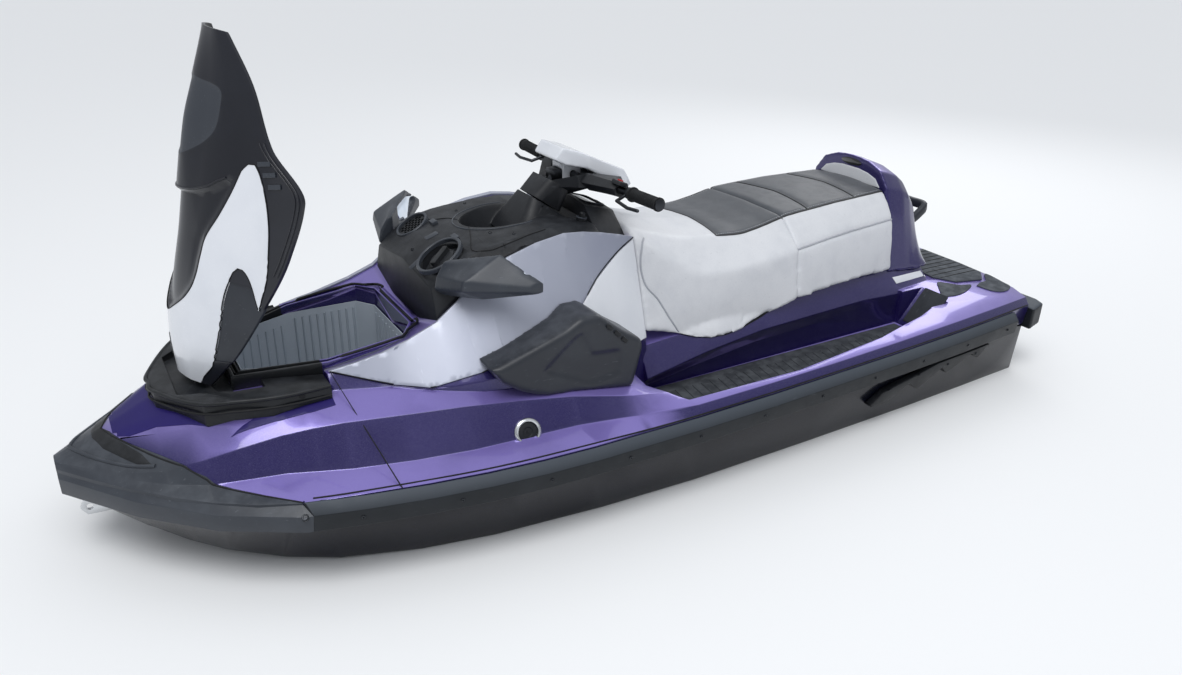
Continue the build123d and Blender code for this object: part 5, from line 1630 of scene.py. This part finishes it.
# %% Console details
NOSE_UP = Vector((0.51, 0, 0.86))
vent_place = frame_on(at(603, -150, 872), NOSE_UP)
fuel_place = frame_on(at(634, 138, 870), NOSE_UP)
place_shapes("vent_ring", turned([(45.2, -10), (45.2, 2.5), (47, 4), (51, 4), (53, 2), (53, -10)], True, 56),
             [vent_place], satin_grey)
place_shapes("filler_ring", turned([(62, -8), (62, 2.5), (64, 4), (69, 4), (71, 2), (71, -8)], True, 64),
             [fuel_place], satin_grey)
CONSOLE = ["console"]
OVER = 1100
for k, (x, y, size) in enumerate(((676, 66, (22, 9)), (600, 0, (20, 11)))):
    place_shapes(f"console_blank_plate_{k}", slab(rounded_box(*size, 3), 1.0, 0.3),
                 [mark_on(CONSOLE, (x, y, OVER), DOWN)], satin_grey)
clips = [mark_on(CONSOLE, (x, y, OVER), DOWN, (0, 1, 0)) for x, y in ((560, -80), (560, 80), (500, 0))]
place_shapes("console_clips", slab(rounded_box(16, 9, 3), 9.0, 2.0), clips, satin_grey)
screw_spots = [touch(CONSOLE, at(x, y, OVER), DOWN)
               for x, y in ((420, 170), (420, -170), (660, 0), (470, 120), (470, -120))]
on_points("console_screws", screw_spots, rail_screw, dark_plate)
DISH_X, DISH_LONG, DISH_WIDE = 380, 147, 115
dish_ring = [touch(CONSOLE, at(DISH_X + DISH_LONG * math.cos(a), DISH_WIDE * math.sin(a), OVER), DOWN)[0]
             for a in [math.radians(d) for d in range(-110, 111, 5)]]
strips("dish_edge", [dish_ring], 2.4, satin_grey)
JOINT_LINE = [(590, -214), (556, -120), (508, -60), (500, 30), (520, 96), (556, 190), (520, 214), (440, 208),
              (330, 190)]
strips("console_joint", [laid(CONSOLE, [(x, y, OVER) for x, y in JOINT_LINE], DOWN, 0.2, 14)], 1.8, seal_rubber,
       sides=6)

# %% [markdown]
# On the bars: ribs round the rubber grips, weights at the ends, and the start and stop buttons on small
# pods beside the grips. On the console: a ring post for the safety key and a rim round the display. The
# small round things are turned or cut as slabs once and copied to their places.

# %% Helm details
BAR = [at(92, 400, 1010), at(92, 230, 1004)]
bar_way = (BAR[0] - BAR[1]).normalized()
GRIP_RIBS, RIBS_FROM, RIBS_SPAN = 15, 0.30, 0.62
END_STAND = 0.0068


def on_side(v, sign):
    """The vector itself for port (1), or its mirror image for starboard (-1)."""
    return Vector((v[0], sign * v[1], v[2]))


rib_profile = [(16.6, -1.2), (18.3, -0.8), (18.3, 0.8), (16.6, 1.2)]
rib_middles = [BAR[1].lerp(BAR[0], RIBS_FROM + RIBS_SPAN * k / (GRIP_RIBS - 1)) for k in range(GRIP_RIBS)]
rib_places = [frame_on(on_side(middle, sign), on_side(bar_way, sign), (0, 0, 1))
              for middle in rib_middles for sign in (1, -1)]
place_shapes("grip_ribs", turned(rib_profile, True, 28), rib_places, grip_rubber, "handlebars", sharp=50)
bar_end = BAR[0] + Vector((0, END_STAND, 0))
end_places = [frame_on(on_side(bar_end, sign), (0, sign, 0), (0, 0, 1)) for sign in (1, -1)]
end_weight = turned([(0, -3), (15, -3), (17, -1), (16, 4), (11, 6.2), (0, 6.4)], steps=28)
place_shapes("bar_end_weights", end_weight, end_places, dark_plate, "handlebars")
POD_UP, POD_DEEP, POD_TOP = Vector((-0.35, 0, 0.94)), 12, 0.0115
for side, sign, finish in (("port", 1, red_plastic), ("starboard", -1, green_plastic)):
    centre = at(104, sign * 218, 1022)
    pod_place = frame_on(centre, POD_UP, (0, 1, 0))
    place_shapes(f"switch_pod_{side}", slab(rounded_box(22, 17, 7), POD_DEEP, 3.0), [pod_place], console_black,
                 "handlebars")
    button_place = frame_on(centre + POD_UP.normalized() * POD_TOP, POD_UP, (0, 1, 0))
    button = turned([(0, -1), (9, -1), (9, 2.5), (7.5, 4), (0, 4.4)], steps=28)
    place_shapes(f"button_{side}", button, [button_place], finish, "handlebars")
post_place = mark_on(["glove_lid", "console"], (176, 128, 1200), DOWN)
post = turned([(0, -3), (15, -3), (15, 7), (12.5, 10), (9, 10), (9, 24), (7, 26), (0, 26)], steps=32)
place_shapes("key_post", post, [post_place], cowl_black)
post_ring = turned([(13.0, 9.4), (13.0, 12), (14.5, 13.4), (16.6, 12), (16.6, 9.4)], True, 40)
place_shapes("key_post_ring", post_ring, [post_place], satin_grey)
bezel_place = mark_on(["display", "glove_lid"], (87, 0, 1200), DOWN, (0, 1, 0))
bezel_path = [bezel_place @ (Vector((a, b, 0.4)) / 1000) for a, b in rounded_box(60, 39, 14)]
strips("display_bezel", [bezel_path], 2.2, satin_grey, closed=True)
print("grip ribs", len(rib_places), "bezel", len(bezel_path), "points")

# %% [markdown]
# The hump behind the seat is painted, with a pale seat-back piece and a smooth dark oval let into it. The
# grab handle behind it is a thick flat strap of rubber-covered bar. A bevelled curve would turn about its
# path, so the section is set one by one at each point, and the strap stands for the round bar of the solid.

# %% Hump and grab handle
HUMP = ["seat_hump"]
AFT = (-1, 0, 0)
BACK_PIECE = [(-150, 852), (150, 852), (124, 880), (84, 893), (40, 899), (-40, 899), (-84, 893), (-124, 880)]


def from_ahead(a, b):
    return -900, a, b


patch("hump_back_piece", HUMP, BACK_PIECE, from_ahead, AFT, 3.0, seat_white, round_mm=1.2)
badge_place = mark_on(HUMP, (-900, 0, 917), AFT, (0, 0, 1))
place_shapes("hump_blank_badge", slab(oval(13, 50), 2.4, 0.8), [badge_place], dark_glass)


def flat_bar(name, path, wide_mm, thick_mm, across):
    """A bar of rounded oblong section along a path, its width as near to one direction as it can be."""
    section = rounded_box(wide_mm / 2, thick_mm / 2, thick_mm * 0.38, 3)
    shape = bmesh.new()
    loops = []
    for i, point in enumerate(path):
        ahead = (path[min(i + 1, len(path) - 1)] - path[max(i - 1, 0)]).normalized()
        wide = Vector(across)
        wide = (wide - ahead * wide.dot(ahead)).normalized()
        thick = ahead.cross(wide)
        loops.append([shape.verts.new(point + wide * a / 1000 + thick * b / 1000) for a, b in section])
    for low, high in zip(loops, loops[1:]):
        for k in range(len(section)):
            n = (k + 1) % len(section)
            shape.faces.new((low[k], low[n], high[n], high[k]))
    shape.faces.new(loops[0])
    shape.faces.new(loops[-1])
    bmesh.ops.recalc_face_normals(shape, faces=shape.faces)
    return shade(object_from(shape, name), 45)


STRAP_WIDE, STRAP_THICK = 34, 24
half_route = [(-1262, 135, 690), (-1310, 136, 718), (-1343, 128, 742), (-1345, 60, 744)]
strap_route = [*half_route, (-1345, 0, 745), *[(x, -y, z) for x, y, z in reversed(half_route)]]
strap_path = [at(*p) for p in fine_points(strap_route, 9)]
strap = flat_bar("grab_strap", strap_path, STRAP_WIDE, STRAP_THICK, (0, 0, 1))
settle(strap, "craft", pod_grey, ["grab_handle"])
print("strap", len(strap_path), "points")

# %% [markdown]
# Aft of the seat the deck steps down to the boarding platform. A white stripe runs along the top of the
# pedestal, dark pads cover each quarter and corner, an oval tie-down is let into the deck, and the mats
# have parallel grooves and ribs. These are thin strips in rows, laid by the same tree as the piping.

# %% Platform details
SIDES = {"port": 1, "starboard": -1}
STRIPE_Y = 302
STRIPE = [(-1075, 541), (-1246, 532), (-1252, 514), (-1086, 519)]
QUARTER_PAD = [(-1194, 398), (-1236, 346), (-1280, 300), (-1304, 316), (-1340, 350), (-1388, 368), (-1330, 396),
               (-1262, 408)]
CORNER_PAD = [(-1404, 380), (-1440, 366), (-1478, 362), (-1532, 318), (-1534, 400), (-1528, 436), (-1480, 452),
              (-1430, 438)]
for side, sign in SIDES.items():
    patch(f"pedestal_stripe_{side}", ["deck"], STRIPE, lambda a, b, s=sign: (a, s * STRIPE_Y, b), (0, -sign, 0), 1.6,
          white, round_mm=0.4, step=10.0)
    for kind, pad in (("quarter", QUARTER_PAD), ("corner", CORNER_PAD)):
        outline = [(x, sign * y) for x, y in fine_points([*pad, pad[0]], 10)[:-1]]
        patch(f"{kind}_pad_{side}", ["deck"], outline, from_above, DOWN, 3.5, stern_foam, round_mm=1.2, step=12.0)
print("pads", len(QUARTER_PAD) + len(CORNER_PAD), "points on each side")

# %% Grooves, ribs and tie-downs
MAT_AHEAD, MAT_ASTERN, MAT_SLANT_Y, MAT_SLANT = -1310, -1516, 262, 0.6
grooves = []
for y in range(40, 281, 30):
    ahead = MAT_AHEAD - max(0, y - MAT_SLANT_Y) * MAT_SLANT
    grooves.append(laid(["platform_mats", "footwell_mats"], [(ahead, y, ABOVE), (MAT_ASTERN, y, ABOVE)], DOWN, 0.3, 60))
strips("platform_grooves", mirrored_paths(grooves), 1.5, seal_rubber, sides=6)
WELL_FROM, WELL_TO, WELL_RIB_PITCH = 90, -1060, 34
WELL_INNER, WELL_OUTER, WELL_FLOOR, RIB_BOW = 352, 528, 385, 14
well_ribs = []
for x in range(WELL_FROM, WELL_TO, -WELL_RIB_PITCH):
    outer = WELL_OUTER - max(0, -x - 400) * 0.11
    path = [touch(["footwell_mats", "deck"], at(x + bow, y, 430), DOWN)[0]
            for y, bow in ((WELL_INNER, 0), ((WELL_INNER + outer) / 2, RIB_BOW), (outer, 0))]
    if max(p.z for p in path) < at(0, 0, WELL_FLOOR).z:
        well_ribs.append(path)
strips("footwell_ribs", mirrored_paths(well_ribs), 2.6, mat_foam)
for side, sign in SIDES.items():
    cup_place = mark_on(["deck"], (-1262, sign * 236, ABOVE), DOWN, (0.8, sign * 0.6, 0))
    rim = [cup_place @ (Vector((a, b, 2.0)) / 1000) for a, b in oval(26, 14, 32)]
    strips(f"tie_down_ring_{side}", [rim], 3.4, polished, closed=True, sides=10)
    place_shapes(f"tie_down_cup_{side}", slab(oval(24, 12), 1.0, 0.3), [cup_place], cowl_black)
print("ribs", len(well_ribs), "grooves", len(grooves))

# %% [markdown]
# The transom has two drain plugs, each a turned cap with a bar to grip. The pods have stepped clips on
# their after upper corner. The storage tub is stiffened by upright ribs, which are strips along short
# straight paths up its walls.

# %% Transom, pods and tub
drain_places = [frame_on(at(-1540, sign * 190, 110), (-1, 0, 0), (0, 1, 0)) for sign in (1, -1)]
plug_cap = turned([(0, -1), (19, -1), (19, 3), (15, 4.5), (15, 9), (12, 11), (0, 11)], steps=36)
place_shapes("drain_plug_caps", plug_cap, drain_places, console_black)
grip_bars = [place @ Matrix.Translation((0, 0, 0.010)) for place in drain_places]
place_shapes("drain_plug_grips", slab(rounded_box(13, 3, 2), 5, 1.0), grip_bars, console_black)
clip_places = [mark_on(["side_pods"], (x, sign * OUTSIDE, z), (0, -sign, 0), (0.7, 0, 0.7))
               for x, z in ((232, 660), (256, 684), (282, 708)) for sign in (1, -1)]
place_shapes("pod_clips", slab(rounded_box(11, 6, 2), 4, 1.0), clip_places, cowl_black)
TUB_Y, TUB_AFT_X, TUB_TURN_X, TUB_NARROWS = 196.5, 742.5, 985, (200, -82)
TUB_FEET, TUB_TOP, TUB_BOW_TOP, TUB_RIB_R = (384, 470, 556), 622, 610, 3.4
tub_ribs = [[at(x, TUB_Y, z) for z in (*TUB_FEET, TUB_TOP)] for x in range(790, 967, 22)]
for k in range(1, 8):
    x, y = (start + run * k / 8 for start, run in zip((TUB_TURN_X, TUB_Y), TUB_NARROWS))
    tub_ribs.append([at(x, y, z) for z in (*TUB_FEET, TUB_BOW_TOP)])
strips("tub_ribs", mirrored_paths(tub_ribs), TUB_RIB_R, tub_grey)
aft_ribs = [[at(TUB_AFT_X, y, z) for z in (*TUB_FEET, TUB_TOP)] for y in range(-120, 121, 30)]
strips("tub_aft_ribs", aft_ribs, TUB_RIB_R, tub_grey)
print("clips", len(clip_places), "tub ribs", 2 * len(tub_ribs) + len(aft_ribs))

# %% [markdown]
# The surround of the hood's hinge is a tray with a rolled upper edge, a deep groove that parts its two
# tiers, drawn as a very dark strip that paints the shadow under the upper tier, and a drain hole on either
# side, a dark disc of painted shade. The deck ahead of it and beside it is a facet in shade, painted as a
# thin skin of satin indigo that ends in a spear on each shoulder.

# %% Tray round the foot of the hood
TRAY_EDGE = [(1006, 300), (1150, 292), (1300, 225), (1395, 60), (1400, 0)]
DECK = ["deck"]


def tray_top(x):
    """The height of the tray's upper face, which falls away more steeply ahead of x = 1240."""
    return 632 - 5 * (x - 980) / 260 if x < 1240 else 627 - 27 * (x - 1240) / 170


def round_tray(inset, drop):
    return [at(x - inset * (0.2 if x < 1100 else 0.6), y * (1 - inset / 300), tray_top(x) - drop)
            for x, y in fine_points(flipped(TRAY_EDGE), 12)]


strips("tray_rolled_edge", [round_tray(4.5, 2.5)], 5.5, cowl_black, sides=12)
# painted shadow: a very dark strip stands for the groove and the shade under the upper tier
strips("tray_groove", [round_tray(0.0, 27)], 3.4, seal_rubber)
# painted shade: each drain hole is a dark disc
drain_marks = [mark_on(["hood_cowl"], (1078, sign * 420, tray_top(1078) - 13), (0, -sign, 0)) for sign in (1, -1)]
place_shapes("tray_drains", slab(oval(8, 6), 1.2, 0.3), drain_marks, seal_rubber)
# painted shade: a thin indigo skin over the deck's facets that stand in shade
FACET = [(1296, 226), (1340, 182), (1407, 126), (1470, 94), (1504, 60)]
patch("bow_facet", DECK, flipped(FACET, keep_last=True), from_above, DOWN, 1.0, indigo, round_mm=0.3, step=12.0)
SPEAR = [(1256, 280), (1212, 288), (1140, 306), (1060, 318), (1003, 320), (1003, 294), (1140, 286), (1185, 270),
         (1222, 272)]
for side, sign in SIDES.items():
    patch(f"shoulder_spear_{side}", DECK, [(x, sign * y) for x, y in SPEAR], from_above, DOWN, 1.0, indigo,
          round_mm=0.3, step=8.0)
TRAY_FLOOR = [(1216, 192), (1242, 182), (1262, 168)]
patch("tray_floor", DECK, flipped(TRAY_FLOOR, keep_last=True), from_above, DOWN, 1.5, cowl_black, round_mm=0.5,
      step=10.0)
print("tray edged")
